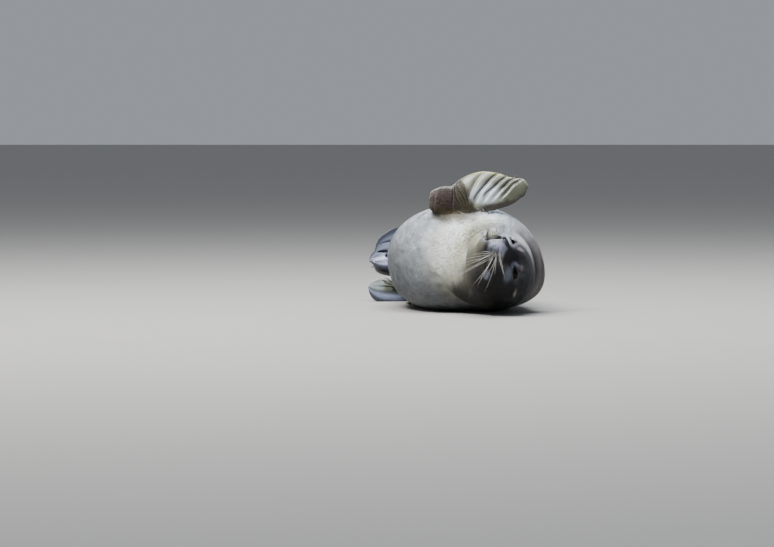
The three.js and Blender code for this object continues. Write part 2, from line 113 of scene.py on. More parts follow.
def lay(tone: Array, colour: Array, share: Array) -> Array:
    """A colour laid over tones: tone (1 - share) + colour share, with a share for each point."""
    share = share[..., None]
    return tone * (1 - share) + colour * share


@dataclass
class Curve:
    """Cubic through stations.

    Single numbers keep their rises and falls with no overshoot; vectors and `free` curves take
    the slope of a parabola through each three stations.
    """

    keys: Array
    values: Array
    free: bool = False
    slopes: Array = field(init=False)

    def __post_init__(self) -> None:
        """Works out the slope at each station."""
        self.keys = np.asarray(self.keys, float)
        self.values = np.asarray(self.values, float)
        many = self.values.ndim > 1
        h = np.diff(self.keys)
        step = h[:, None] if many else h
        rise = np.diff(self.values, axis=0) / step
        self.slopes = np.empty_like(self.values)
        self.slopes[0], self.slopes[-1] = rise[0], rise[-1]
        before, after = step[:-1], step[1:]
        if many or self.free:
            self.slopes[1:-1] = (rise[:-1] * after + rise[1:] * before) / (before + after)
            return
        w1, w2 = 2 * after + before, after + 2 * before
        with np.errstate(divide="ignore", invalid="ignore"):
            mean = (w1 + w2) / (w1 / rise[:-1] + w2 / rise[1:])
        self.slopes[1:-1] = np.where(rise[:-1] * rise[1:] > 0, mean, 0.0)

    def __call__(self, x: Array) -> Array:
        """Value of the cubic that has the stations' values and slopes.

        Args:
            x: keys, held between the first and the last station.

        Returns:
            A value for each key.
        """
        x = np.clip(np.asarray(x, float), self.keys[0], self.keys[-1])
        i = np.clip(np.searchsorted(self.keys, x, side="right") - 1, 0, len(self.keys) - 2)
        h = self.keys[i + 1] - self.keys[i]
        t = (x - self.keys[i]) / h
        if self.values.ndim > 1:
            h, t = h[..., None], t[..., None]
        u = 1.0 - t
        ends = self.values[i] * (1 + 2 * t) * u * u + self.values[i + 1] * t * t * (3 - 2 * t)
        return ends + h * (self.slopes[i] * t * u * u + self.slopes[i + 1] * t * t * (t - 1))


@dataclass(frozen=True)
class Noise:
    """Seeded value noise: random numbers on a wrapped lattice, joined by smooth steps."""

    seed: int
    cells: int = 24

    def __call__(self, p: Array, size: float) -> Array:
        """Noise at points.

        Args:
            p: points.
            size: width of a lattice cell, in the points' unit.

        Returns:
            A number from 0 to 1 for each point.
        """
        lattice = np.random.default_rng(self.seed).random((self.cells,) * 3)
        q = np.asarray(p, float) / size
        low = np.floor(q).astype(int)
        t = q - low
        t = t * t * (3 - 2 * t)
        total = np.zeros(q.shape[:-1])
        for dx in (0, 1):
            for dy in (0, 1):
                for dz in (0, 1):
                    weight = np.abs(1 - dx - t[..., 0]) * np.abs(1 - dy - t[..., 1])
                    weight = weight * np.abs(1 - dz - t[..., 2])
                    at = (low + (dx, dy, dz)) % self.cells
                    total = total + weight * lattice[at[..., 0], at[..., 1], at[..., 2]]
        return total

    def layered(self, p: Array, size: float, octaves: int = 3) -> Array:
        """Noise of several sizes, each half the last in size and strength.

        Args:
            p: points.
            size: width of the largest cell.
            octaves: how many sizes.

        Returns:
            A number from 0 to 1 for each point.
        """
        weights = [0.5**k for k in range(octaves)]
        total = sum(w * self(p + 31.7 * k, size * w) for k, w in enumerate(weights))
        return total / sum(weights)


@dataclass(frozen=True)
class Working:
    """The working frame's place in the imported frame."""

    base: tuple = (-20.549, 248.085, 0.0)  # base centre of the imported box, mm
    metre: float = 1000.0

    def to_frame(self, p: Array) -> Array:
        """Working points in mm as packed-frame points in metres."""
        return (np.asarray(p, float) - np.array(self.base)) / self.metre


WORKING = Working()


# ---- head
@dataclass(frozen=True)
class Form:
    """One rounded form of the head, in the head's own axes: forward, up and side."""

    centre: tuple
    radii: tuple
    blend: float
    paired: bool = False


@dataclass(frozen=True)
class Eye:
    """Sizes of one eye and of the opening of its lids, in the head's own axes."""

    centre: tuple = (-74.6, 18.9, 27.0)
    radius: float = 14.5
    look: tuple = (0.66, 0.42, 0.62)
    slit: tuple = (-0.62, 0.0, 0.66)
    half_length: float = 14.0
    half_height: float = 5.8
    raised: float = 0.5
    lid: float = 1.5
    floor: float = 1.2
    flare: float = 0.35

    def axes(self) -> tuple[Array, Array, Array]:
        """Unit vectors along the slit, across it and out of the eye."""
        look, slit = unit(np.array(self.look)), unit(np.array(self.slit))
        return slit, np.cross(slit, look), look

    def outline(self, turn: Array, radius: float, grow: float = 0.0) -> Array:
        """Almond outline on a ball round the eye.

        The slit coordinate is the half length times the cosine of the turn, the height is the
        half height times the sine times its own size, and the depth puts the point on the ball.

        Args:
            turn: angle round the outline.
            radius: radius of the ball.
            grow: how much wider the almond is made.

        Returns:
            Head points of the left eye.
        """
        slit, across, look = self.axes()
        x = (self.half_length + grow) * np.cos(turn)
        wave = np.sin(turn)
        y = self.raised + (self.half_height + grow) * wave * np.abs(wave) ** 0.7
        z = np.sqrt(np.maximum(radius**2 - x * x - y * y, 0.0))
        return (
            np.array(self.centre) + x[:, None] * slit + y[:, None] * across + z[:, None] * look
        )


WHISKER_PAD = Form((-17.5, -17, 15.8), (18, 15.8, 16), 4, True)


@dataclass(frozen=True)
class Head:
    """The head's axes and rounded forms, with the fine shapes of its face.

    Head points, called h, are in the head's own axes, measured from the nose tip.
    """

    nose: tuple = (61.7, -120.0, 140.7)
    forward: tuple = (0.08, -0.84, 0.535)
    up_hint: tuple = (1.0, 0.09, 0.0)
    ear_forward: float = -97.0
    ear_up: float = 21.7
    mouth_up: float = -31.5
    eye: Eye = Eye()
    forms: tuple[Form, ...] = (
        Form((-110, 9, 0), (59, 54, 63), 0),  # skull
        Form((-88, -17, 30), (45, 34, 32), 17, True),  # cheeks
        Form((-86, -30, 0), (52, 30, 44), 15),  # jaw
        Form((-46, -7, 0), (43, 23, 30), 18),  # bridge
        Form((-36, -31, 0), (29, 15, 22), 9),  # chin
        WHISKER_PAD,
        Form((-15, -18, 0), (12, 12, 10), 4),  # upper lip
        Form((-11, 0.5, 0), (8.5, 6.5, 9.5), 4),  # nose
        Form((-76, 30, 20), (14, 10, 14), 10, True),  # brows
    )

    def axes(self) -> Array:
        """The head's own axes, square to each other.

        Returns:
            Rows: unit vectors forward, up and to the animal's left.
        """
        ahead = unit(np.array(self.forward))
        hint = np.array(self.up_hint)
        up = unit(hint - ahead * (hint @ ahead))
        return np.stack([ahead, up, np.cross(up, ahead)])

    def to_local(self, p: Array) -> Array:
        """Working points as head points."""
        return (p - np.array(self.nose)) @ self.axes().T

    def to_working(self, h: Array) -> Array:
        """Head points as working points."""
        return np.array(self.nose) + np.asarray(h, float) @ self.axes()

    def lid_hollow(self, h: Array) -> tuple[Array, Array]:
        """The lids and the opening between them.

        The opening is where the height over the slit is under half_height (1 - (x / half
        length)^2), and it flares outside the lids; the hollow goes down to `floor` under the
        eyeball's surface.

        Args:
            h: head points.

        Returns:
            The field of the hollow, and that of the lids' ball.
        """
        slit, across, look = self.eye.axes()
        q = h.copy()
        q[..., 2] = np.abs(q[..., 2])
        q = q - np.array(self.eye.centre)
        x, y, z = q @ slit, q @ across, q @ look
        r = np.linalg.norm(q, axis=-1)
        share = x / self.eye.half_length
        half = self.eye.half_height * np.clip(1 - share**2, 0, 1) ** 0.85
        inside = np.abs(y - self.eye.raised) - half
        beyond = np.abs(x) - self.eye.half_length + np.abs(y)
        almond = np.where(np.abs(share) < 1, inside, beyond)
        almond = almond - self.eye.flare * np.maximum(r - self.eye.radius - self.eye.lid, 0)
        hollow = np.maximum(np.maximum(almond, -z), self.eye.radius - self.eye.floor - r)
        ball = np.where(z > -5, r - self.eye.radius - self.eye.lid, 90.0)
        return hollow, ball

    def grooves(self, h: Array) -> Array:
        """Depth of the fine hollows of the face, in mm.

        Each is a bell curve across its line times smooth steps along it: the cleft of the upper
        lip, the mouth line, two slanting nostrils, the ear slits with their raised rims, and a
        dimple at the root of each whisker.

        Args:
            h: head points.

        Returns:
            The depth at each point.
        """
        f, u, side = h[..., 0], h[..., 1], np.abs(h[..., 2])
        cleft = 4.2 * bell(h[..., 2] + 5.0, 2.4) * ramp(-36, -28, u) * (1 - ramp(-7, -1, u))
        cleft = cleft * ramp(-30, -16, f)
        line = self.mouth_up + 0.1 * side - 0.1 * np.minimum(f + 20, 0)
        mouth = 2.4 * bell(u - line, 2.6) * ramp(-70, -58, f)
        reach = 3.0 + 7.0 * np.clip((u + 0.5) / 8.0, 0, 1)
        nostril = 4.4 * bell(side - reach, 1.8) * ramp(-3.0, -0.5, u) * (1 - ramp(7.0, 9.5, u))
        nostril = nostril * ramp(-18, -10, f)
        ear, rim = self.ear(h)
        return cleft + mouth + nostril + 4.5 * ear - 1.8 * rim + 0.7 * self.dimples(h)

    def ear(self, h: Array) -> tuple[Array, Array]:
        """The ear slit and the raised rim over it: bell curves along and across each.

        Args:
            h: head points.

        Returns:
            The shares of the slit and of the rim, from 0 to 1.
        """
        along, u = h[..., 0] - self.ear_forward, h[..., 1] - self.ear_up
        here = ramp(25, 35, np.abs(h[..., 2]))
        slit = bell(along, 6.0) * bell(u - 0.1 * along, 2.0) * here
        rim = bell(along, 8.0) * bell(u - 5.0 - 0.1 * along, 2.6) * here
        return slit, rim

    def dimples(self, h: Array) -> Array:
        """The dimples at the whiskers' roots: sines along and up the pads.

        Args:
            h: head points.

        Returns:
            A share from 0 to 1 for each point.
        """
        f, u, side = h[..., 0], h[..., 1], np.abs(h[..., 2])
        pad = ramp(4.0, 8.0, side) * ramp(-28, -23, u) * (1 - ramp(-9, -5, u)) * ramp(-42, -34, f)
        across = np.maximum(np.sin((f + 0.4 * side) * TAU / 4.6), 0)
        return pad * across * np.maximum(np.sin(u * TAU / 4.2), 0)

    def field(self, h: Array) -> Array:
        """The head's forms joined by smooth minima, with the lids' balls; negative inside.

        Args:
            h: head points.

        Returns:
            The field at each point.
        """
        mirrored = h.copy()
        mirrored[..., 2] = np.abs(mirrored[..., 2])
        total = None
        for form in self.forms:
            near = ellipsoid(mirrored if form.paired else h, form.centre, form.radii)
            total = near if total is None else smooth_min(total, near, form.blend)
        return smooth_min(total, self.lid_hollow(h)[1], 3.5)


# ---- body
@dataclass
class Body:
    """Head, neck, trunk, hindquarters and tail as one surface round a bent spine."""

    head: Head = field(default_factory=Head)
    columns: int = 280
    head_rows: int = 136
    body_rows: int = 76
    pole_depth: float = 16.0
    reach: float = 190.0
    nape: float = 134.0
    tail_end: float = 790.0
    line_at: float = 146.0  # spine distances on the nape: pale line (painted highlight), fold (painted shade), roll
    fold_at: float = 151.0
    roll_at: float = 167.0
    shoulder: Form = Form((-36, 95, 139), (56, 55, 52), 26)
    spine: tuple = (
        # distance, position, way the back faces
        (190, (46, 40, 86), (1, 0.1, -0.02)),
        (270, (10, 120, 93), (1, 0.1, -0.03)),
        (380, (-10, 230, 93), (1, 0.05, 0)),
        (485, (-18, 335, 86), (1, 0.1, 0)),
        (580, (-38, 430, 73), (1, 0.25, 0)),
        (655, (-66, 500, 62), (1, 0.35, 0)),
        (720, (-90, 560, 52), (1, 0.35, 0)),
        (790, (-108, 626, 40), (1, 0.35, 0)),
    )
    girth: tuple = (
        # distance, reach to the back, belly, right and left
        (60, 20, 26, 20, 20),
        (80, 32, 40, 40, 38),
        (100, 46, 54, 60, 52),
        (130, 62, 73, 80, 64),
        (150, 77, 87, 89, 69),
        (170, 92, 100, 95, 73),
        (200, 104, 117, 99, 80),
        (240, 118, 132, 102, 91),
        (290, 130, 140, 103, 98),
        (350, 134, 140, 102, 99),
        (420, 130, 133, 98, 97),
        (500, 114, 119, 90, 92),
        (570, 94, 98, 76, 79),
        (630, 74, 74, 62, 66),
        (680, 52, 50, 46, 48),
        (720, 30, 29, 26, 27),
        (750, 19, 19, 16, 16),
        (775, 13, 13, 10, 10),
        (790, 1.5, 1.5, 1.5, 1.5),
    )

    def __post_init__(self) -> None:
        """Fits the curves of the spine, its back direction and the girth."""
        head = self.head
        keys = [0, 121] + [k[0] for k in self.spine]
        start = [head.to_working(h) for h in ((-10, -13, 0), (-130, 2, 0))]
        self.path = Curve(keys, np.array(start + [np.array(k[1], float) for k in self.spine]))
        up = head.axes()[1]
        ways = [up, up] + [unit(np.array(k[2], float)) for k in self.spine]
        self.up_way = Curve(keys, np.array(ways))
        table = np.array(self.girth, float)
        self.reaches = [Curve(table[:, 0], table[:, k]) for k in (1, 2, 3, 4)]

    def axes_at(self, s: Array) -> tuple[Array, Array, Array]:
        """Forward, up and left unit vectors at a distance along the spine.

        Forward turns from the head's own over s = 30..300 to the spine's run.

        Args:
            s: spine distances.

        Returns:
            The three sets of unit vectors.
        """
        ahead = np.minimum(s + 25, self.tail_end)
        behind = np.maximum(s - 25, 0)
        run = unit(self.path(ahead) - self.path(behind))
        w = ramp(30, 300, s)[..., None]
        forward = unit(self.head.axes()[0] * (1 - w) - run * w)
        up = self.up_way(s)
        up = unit(up - forward * dot(up, forward))
        return forward, up, np.cross(up, forward)

    def girth_field(self, s: Array, u: Array, v: Array) -> Array:
        """Near-distance to the girth: a superellipse with a reach of its own to each side.

        The left side sags by 0.0014 u^2, and the corner between belly and left, which lies on
        the floor, is squarer.

        Args:
            s: spine distances.
            u: distances to the back.
            v: distances to the left.

        Returns:
            The near-distance at each point, negative inside.
        """
        sag = 0.0014 * ramp(140, 190, s) * (1 - ramp(350, 600, s))
        side = v - sag * np.maximum(u, 0) ** 2
        r = np.hypot(u, side) + 1e-6
        back, belly, right, left = (reach(s) for reach in self.reaches)
        reach_u = np.where(u > 0, back, belly)
        reach_v = np.where(side > 0, left, right)
        square = ramp(0, 1, -u / r) * ramp(0, 1, side / r) * ramp(170, 240, s)
        n = 2.1 + 1.2 * square
        k = ((np.abs(u) / reach_u) ** n + (np.abs(side) / reach_v) ** n) ** (1 / n)
        return r * (1 - 1 / np.maximum(k, 1e-6))

    def crown_line(self, s: Array, turn: Array, at: float, width: float) -> Array:
        """Share of a line over the nape: a bell curve in s, held between two turns.

        Args:
            s: spine distances.
            turn: angles from the back.
            at: where the line crosses the back.
            width: its half width.

        Returns:
            A number from 0 to 1 for each point.
        """
        turn = np.arctan2(np.sin(turn), np.cos(turn))
        held = ramp(-1.35, -0.95, turn) * (1 - ramp(0.95, 1.45, turn))
        return bell(s - at - 2.0 * np.sin(2 * turn + 0.6), width) * held

    def folds(self, s: Array, u: Array, v: Array) -> Array:
        """The skin's folds: bell curves across rings of the nape, the chest and the tail's root.

        Args:
            s: spine distances.
            u: distances to the back.
            v: distances to the left.

        Returns:
            The depth at each point, in mm.
        """
        turn = np.arctan2(v, u)
        wave = 5 * np.sin(2 * turn + 0.6) + 3 * np.sin(5 * turn)
        back = ramp(-0.2, 0.8, np.cos(turn))
        throat = ramp(0.0, 0.7, -np.cos(turn)) * ramp(-0.4, 0.3, np.sin(turn))
        nape = 5.0 * self.crown_line(s, turn, self.fold_at, 4.5)
        nape = nape + 1.2 * bell(s - 183 - wave, 7.0) * back
        chest = 0.9 * bell(s - 170 - 1.5 * wave, 7.0) * throat
        tail = 1.2 * bell(s - 690 - wave, 6.0) + 0.8 * bell(s - 655 - wave, 6.0)
        return nape + chest + tail

    def field(self, p: Array, s: Array, u: Array, v: Array) -> Array:
        """The whole body's field: girth, head and shoulder joined, less grooves and lids.

        Args:
            p: working points.
            s: spine distances.
            u: distances to the back.
            v: distances to the left.

        Returns:
            The field at each point, negative inside.
        """
        h = self.head.to_local(p)
        trunk = np.where(s >= 60, self.girth_field(s, u, v), 500.0)
        shoulder = ellipsoid(p, self.shoulder.centre, self.shoulder.radii)
        total = smooth_min(trunk, self.head.field(h), 16)
        total = smooth_min(total, shoulder, self.shoulder.blend)
        total = total + self.head.grooves(h) + self.folds(s, u, v)
        hollow = self.head.lid_hollow(h)[0]
        return -smooth_min(-total, hollow, 1.2)

    def surface(self, s: Array, tilt: Array, turn: Array) -> Array:
        """Points where rays from the spine leave the body.

        A ray tilts from forward by `tilt` and turns from the back to the left by `turn`.  Each
        is walked inwards from `reach` in steps of 4 mm to the first point inside, which 13
        halvings then refine.

        Args:
            s: spine distances.
            tilt: angles from forward.
            turn: angles from the back.

        Returns:
            A point for each ray.
        """
        shape = np.shape(s)
        s, tilt, turn = (np.ravel(a).astype(float) for a in (s, tilt, turn))
        start = self.path(s)
        forward, up, left = self.axes_at(s)
        lean, su, sv = np.cos(tilt), np.sin(tilt) * np.cos(turn), np.sin(tilt) * np.sin(turn)
        ray = forward * lean[:, None] + up * su[:, None] + left * sv[:, None]

        def inside(r: Array, at: Array) -> Array:
            """True where the point at distance r along the ray is inside."""
            p = start[at] + ray[at] * r[:, None]
            return self.field(p, s[at], r * su[at], r * sv[at]) <= 0

        low = np.zeros(len(s))
        high = np.full(len(s), self.reach)
        live = np.arange(len(s))
        r = self.reach
        while len(live) and r > 0:
            r -= 4.0
            hit = inside(np.full(len(live), r), live) | (r <= 0)
            low[live[hit]] = r
            high[live[hit]] = r + 4.0
            live = live[~hit]
        everyone = np.arange(len(s))
        for _ in range(13):
            middle = (low + high) / 2
            hit = inside(middle, everyone)
            low = np.where(hit, middle, low)
            high = np.where(hit, high, middle)
        points = start + ray * ((low + high) / 2)[:, None]
        points[:, 2] = np.maximum(points[:, 2], 0.0)
        return points.reshape(shape + (3,))

    def rows(self) -> tuple[Array, Array]:
        """The rings from the nose to the tail tip, closer together over the face.

        Returns:
            The spine distance and the ray's tilt of each ring.
        """
        k = np.arange(1, self.head_rows + 1) / self.head_rows
        low, high = ramp(0.1, 1.25, 0.0), ramp(0.1, 1.25, 1.0)
        share = (ramp(0.1, 1.25, k) - low) / (high - low)
        ahead = self.pole_depth + (self.nape - self.pole_depth) * share
        tilt = math.pi / 2 * np.minimum(1, k / 0.42) ** 0.9
        rest = self.nape + (self.tail_end - self.nape) * (
            np.arange(1, self.body_rows + 1) / self.body_rows
        )
        return np.concatenate([ahead, rest]), np.concatenate(
            [tilt, np.full(self.body_rows, math.pi / 2)]
        )


# ---- flippers
class Side(Enum):
    """Which side of the animal a limb is on."""

    LEFT = "left"
    RIGHT = "right"


@dataclass
class Blade:
    """A flipper: a tube with flat oval sections, swollen along its five digits."""

    name: str
    stations: tuple  # position, half width, half thickness
    edge: tuple
    rows: int = 60
    columns: int = 40
    fan_from: float = 0.35
    fan_depth: float = 0.2
    webs: tuple = ()  # slanting webs: place, depth and the edge share that they end at
    creases: tuple[float, ...] = ()  # shares of the length where the skin creases
    slits: tuple = ()  # share of length, edge share and its slope, half length and width, depth
    wrinkled: float = 0.0  # depth of the sole's wrinkles, mm
    thin_edge: tuple | None = None  # least and most share of the thickness, and its edge shares
    cup: float = 0.0
    claw_places: tuple = ()
    claw_way: tuple = (0.95, 0.0, 0.1)
    claw_face: float = 1.0
    atlas_row: int = 0

    def __post_init__(self) -> None:
        """Fits the curves of the middle line, width and thickness."""
        points = np.array([k[0] for k in self.stations], float)
        gaps = np.linalg.norm(np.diff(points, axis=0), axis=1)
        keys = np.concatenate([[0.0], np.cumsum(gaps)])
        self.length = keys[-1]
        self.path = Curve(keys, points)
        self.wide = Curve(keys, [k[1] for k in self.stations], free=True)
        self.thick = Curve(keys, [k[2] for k in self.stations], free=True)

    def section(self, t: Array) -> tuple[Array, Array, Array, Array]:
        """Axes of the flipper's sections.

        Args:
            t: shares of the length.

        Returns:
            The middle, and the unit vectors along, to the leading edge and out of the face.
        """
        s = np.asarray(t, float) * self.length
        ahead, behind = np.minimum(s + 5, self.length), np.maximum(s - 5, 0)
        run = unit(self.path(ahead) - self.path(behind))
        edge = np.array(self.edge, float)
        side = unit(edge - run * dot(run, edge))
        return self.path(s), run, side, np.cross(run, side)

    def web(self, t: Array, c: Array) -> Array:
        """The webs' grooves.

        They are bell curves across lines that slant over the hand and bend along it, each
        fading at an edge share of its own.  With none, the cosine of the edge share parts five
        straight digits.

        Args:
            t: shares of the length.
            c: edge shares, the cosine of the turn round the section.

        Returns:
            A share from 0 to 1 for each point.
        """
        if not self.webs:
            return np.maximum(-np.cos(5 * np.pi * (c + 1) + np.pi), 0) ** 6
        along = t + c / 6 + 0.035 * ramp(-0.5, 0.3, c) + 0.004 * np.sin(9 * c)
        lines = [d * bell(along - at, 0.012) * (1 - ramp(e - 0.3, e, c)) for at, d, e in self.webs]
        return np.minimum(sum(lines), 1)

    def swell(self, t: Array, c: Array, sn: Array) -> Array:
        """Share of the thickness: digits swell and webs sink, times the edge's thinning.

        Args:
            t: shares of the length.
            c: edge shares.
            sn: the sine of the turn.

        Returns:
            A factor for each point.
        """
        fan = ramp(self.fan_from, self.fan_from + 0.12, t) * (1 - ramp(0.93, 1.0, t))
        if self.webs:
            sunk = sum(bell(t + c / 6 - web[0], 0.022) for web in self.webs)
            sunk = np.minimum(sunk, 1) * (1 - ramp(0.25, 0.7, c))
            ridges = 1 + self.fan_depth * fan * (1 - 2 * sunk) * np.where(sn > 0, 0.6, 1.0)
        else:
            ridge = np.cos(5 * np.pi * (c + 1) + np.pi)
            ridges = 1 + self.fan_depth * fan * ridge * np.where(sn > 0, 1.0, 0.4)
        if self.thin_edge is None:
            return ridges
        least, most, low, high = self.thin_edge
        return ridges * (least + (most - least) * ramp(low, high, c))

    def detail(self, t: Array, c: Array, sn: Array) -> Array:
        """Fine hollows in mm, along the face.

        They are the webs, the creases across the wrist, slits as pointed leaves, and wrinkles
        as a high power of a sine on the sole.

        Args:
            t: shares of the length.
            c: edge shares.
            sn: the sine of the turn.

        Returns:
            The depth at each point.
        """
        hand = ramp(self.fan_from + 0.02, self.fan_from + 0.12, t) * (1 - ramp(0.93, 0.99, t))
        depth = 1.9 if self.webs else 4 * self.fan_depth**1.5
        total = depth * hand * self.web(t, c)
        for at in self.creases:
            line = bell(t - at - 0.012 * np.sin(3 * c + at * 40), 0.007)
            total = total + 1.2 * line * (1 - ramp(0.1, 0.6, c))
        total = total * np.abs(sn) ** 0.5
        for share, edge, slope, long, wide, deep in self.slits:
            along = (t - share) / long
            width = wide * np.clip(1 - along**2, 0.0, 1.0) + 1e-3
            across = c - edge - slope * (t - share)
            total = total + deep * bell(across, width) * (np.abs(along) < 1) * (sn > 0)
        if self.wrinkled > 0:
            bend = 0.5 * np.sin(11 * t + 4 * c) + 0.3 * np.sin(23 * t - 9 * c)
            lines = np.maximum(np.sin(TAU * (2.4 * c + 4.2 * t + bend)), 0) ** 3
            sole = (1 - ramp(0.0, 0.3, c)) * ramp(0.55, 0.65, t) * (1 - ramp(0.84, 0.93, t))
            total = total + self.wrinkled * lines * sole * (sn > 0)
        return total

    def point(self, t: Array, turn: Array, fine: bool = True) -> Array:
        """Point at a share of the length and a turn round the section.

        It is the middle plus the half width times the cosine along the side, and the half
        thickness times the sine and the swell along the face, plus the cup.

        Args:
            t: shares of the length.
            turn: angles from the leading edge.
            fine: whether the fine hollows are cut.

        Returns:
            A point for each pair.
        """
        middle, _, side, face = self.section(t)
        c, sn = np.cos(turn), np.sin(turn)
        s = np.asarray(t, float) * self.length
        high = self.thick(s) * self.swell(t, c, sn) * sn
        if fine:
            high = high - self.detail(t, c, sn) * np.sign(sn)
        high = high + self.cup * (1 - c * c) * np.sin(np.pi * np.clip(1.1 * t, 0, 1))
        return middle + side * (self.wide(s) * c)[..., None] + face * high[..., None]

    def grid(self) -> tuple[Array, Array]:
        """The grid's places, closer together towards both ends.

        Returns:
            The share of the length and the turn of each.
        """
        even = np.arange(1, self.rows) / self.rows
        t = 0.55 * (0.5 - 0.5 * np.cos(np.pi * even)) + 0.45 * even
        turn = np.arange(self.columns) / self.columns * TAU
        return np.meshgrid(t, turn, indexing="ij")

    def surface(self) -> tuple[Array, Array, Array]:
        """The blade's points, kept over the floor.

        Returns:
            The points, with the share of the length and the turn of each.
        """
        t, turn = self.grid()
        points = self.point(t, turn)
        points[..., 2] = np.maximum(points[..., 2], 0.0)
        return points, t, turn


FLIPPERS = (
    Blade(
        "foreflipper_right",
        (
            ((-70.5, 67, 205), 1, 1.5),
            ((-68.8, 67, 205), 12, 8.5),
            ((-65.5, 66.5, 204.7), 18, 13.5),
            ((-59, 66, 204), 23, 17),
            ((-45, 64, 203), 28.5, 19.5),
            ((-26, 63, 202), 30.5, 18),
            ((-10, 61, 206), 34.5, 14.5),
            ((5, 60, 213), 38, 11),
            ((27, 59, 220), 39.5, 8.8),
            ((50, 57, 222), 36, 7.2),
            ((74, 56, 223), 28.5, 6),
            ((92, 55, 227), 20.5, 5),
            ((107, 53, 231), 11.3, 3.8),
            ((112, 53, 231), 1.4, 1.2),
        ),
        (0.25, -0.28, -0.93),
        rows=180,
        columns=120,
        webs=((0.42, 0.1, 0.3), (0.53, 1, 0.5), (0.63, 1, 0.4), (0.72, 0.8, 0), (0.8, 0.7, -0.3)),
        creases=(0.245, 0.3, 0.345, 0.385),
        claw_places=((0.63, -0.9), (0.71, -0.9), (0.79, -0.88), (0.87, -0.82), (0.94, -0.6)),
        claw_way=(0.55, -0.8, 0.3),
        atlas_row=0,
    ),
    Blade(
        "foreflipper_left",
        (
            ((-20, 96, 10), 3, 3),
            ((-26, 106, 10), 13, 9),
            ((-42, 135, 9), 21, 9.5),
            ((-58, 165, 10), 26, 9),
            ((-74, 196, 10), 29, 8),
            ((-88, 224, 10), 25, 6.5),
            ((-96, 242, 9.5), 14, 5),
            ((-99, 248, 9.5), 1, 1.2),
        ),
        (-0.9, -0.4, 0.1),
        fan_from=0.4,
        claw_places=((0.8, 0.9), (0.87, 0.8), (0.92, 0.55), (0.93, 0.15), (0.92, -0.3)),
        claw_face=-1.0,
        atlas_row=1,
    ),
    Blade(
        "hind_flipper_right",
        (
            ((-63, 580, 83), 11.8, 12),
            ((-83, 555, 85), 24.5, 20),
            ((-102, 530, 87), 39, 20),
            ((-122, 510, 92), 49.8, 19),
            ((-140, 498, 88), 44.3, 19.5),
            ((-155, 490, 82), 36.7, 18.5),
            ((-169, 485, 79), 23.8, 14),
            ((-176, 483, 79), 11.7, 9),
            ((-182, 483, 77), 1.5, 1.5),
        ),
        (0.1, 0, -1),
        rows=90,
        columns=100,
        fan_from=0.3,
        fan_depth=0.07,
        slits=(
            (0.8, -0.33, -1.9, 0.1, 0.05, 5.0),
            (0.755, -0.03, -1.0, 0.055, 0.09, 7.0),
            (0.62, -0.5, -1.4, 0.2, 0.03, 2.0),
        ),
        thin_edge=(0.3, 1.0, -0.3, 0.35),
        claw_places=((0.8, -0.6), (0.86, -0.45), (0.9, -0.2), (0.92, 0.15), (0.9, 0.5)),
        claw_face=-1.0,
        atlas_row=2,
    ),
    Blade(
        "hind_flipper_left",
        (
            ((-63, 580, 22), 8, 10),
            ((-83, 545, 20), 16, 17),
            ((-103, 500, 18), 22, 17),
            ((-122, 465, 18), 26, 16),
            ((-142, 453, 20), 26.5, 15),
            ((-161, 447, 23), 24.5, 13),
            ((-173, 444, 26), 18.4, 9.5),
            ((-180, 443, 28), 9.9, 6),
            ((-184, 443, 29), 1, 1.2),
        ),
        (0.1, 0, -1),
        rows=90,
        columns=100,
        fan_from=0.3,
        fan_depth=0.06,
        wrinkled=1.6,
        thin_edge=(0.32, 0.77, 0.25, 0.8),
        cup=13.0,
        claw_places=((0.8, -0.6), (0.86, -0.45), (0.9, -0.2), (0.92, 0.15), (0.9, 0.5)),
        claw_face=-1.0,
        atlas_row=3,
    ),
)


# ---- markings, painted highlights and painted shade
@dataclass(frozen=True)
class Patch:
    """A soft-edged marking, painted highlight or shade: an ellipsoid in the head's own axes."""

    centre: tuple
    radii: tuple
    colour: tuple
    strength: float
    paired: bool = False
    softness: float = 0.45

    def share(self, h: Array, rough: Array) -> Array:
        """How much of the patch shows: a smooth step on the scaled distance, roughened.

        Args:
            h: head points.
            rough: noise from -1 to 1, which breaks up the edge.

        Returns:
            A number from 0 to the strength for each point.
        """
        q = h.copy()
        if self.paired:
            q[..., 2] = np.abs(q[..., 2])
        r = np.linalg.norm((q - np.array(self.centre)) / np.array(self.radii), axis=-1)
        r = r + 0.38 * rough
        return self.strength * (1 - ramp(1 - self.softness, 1 + self.softness, r))


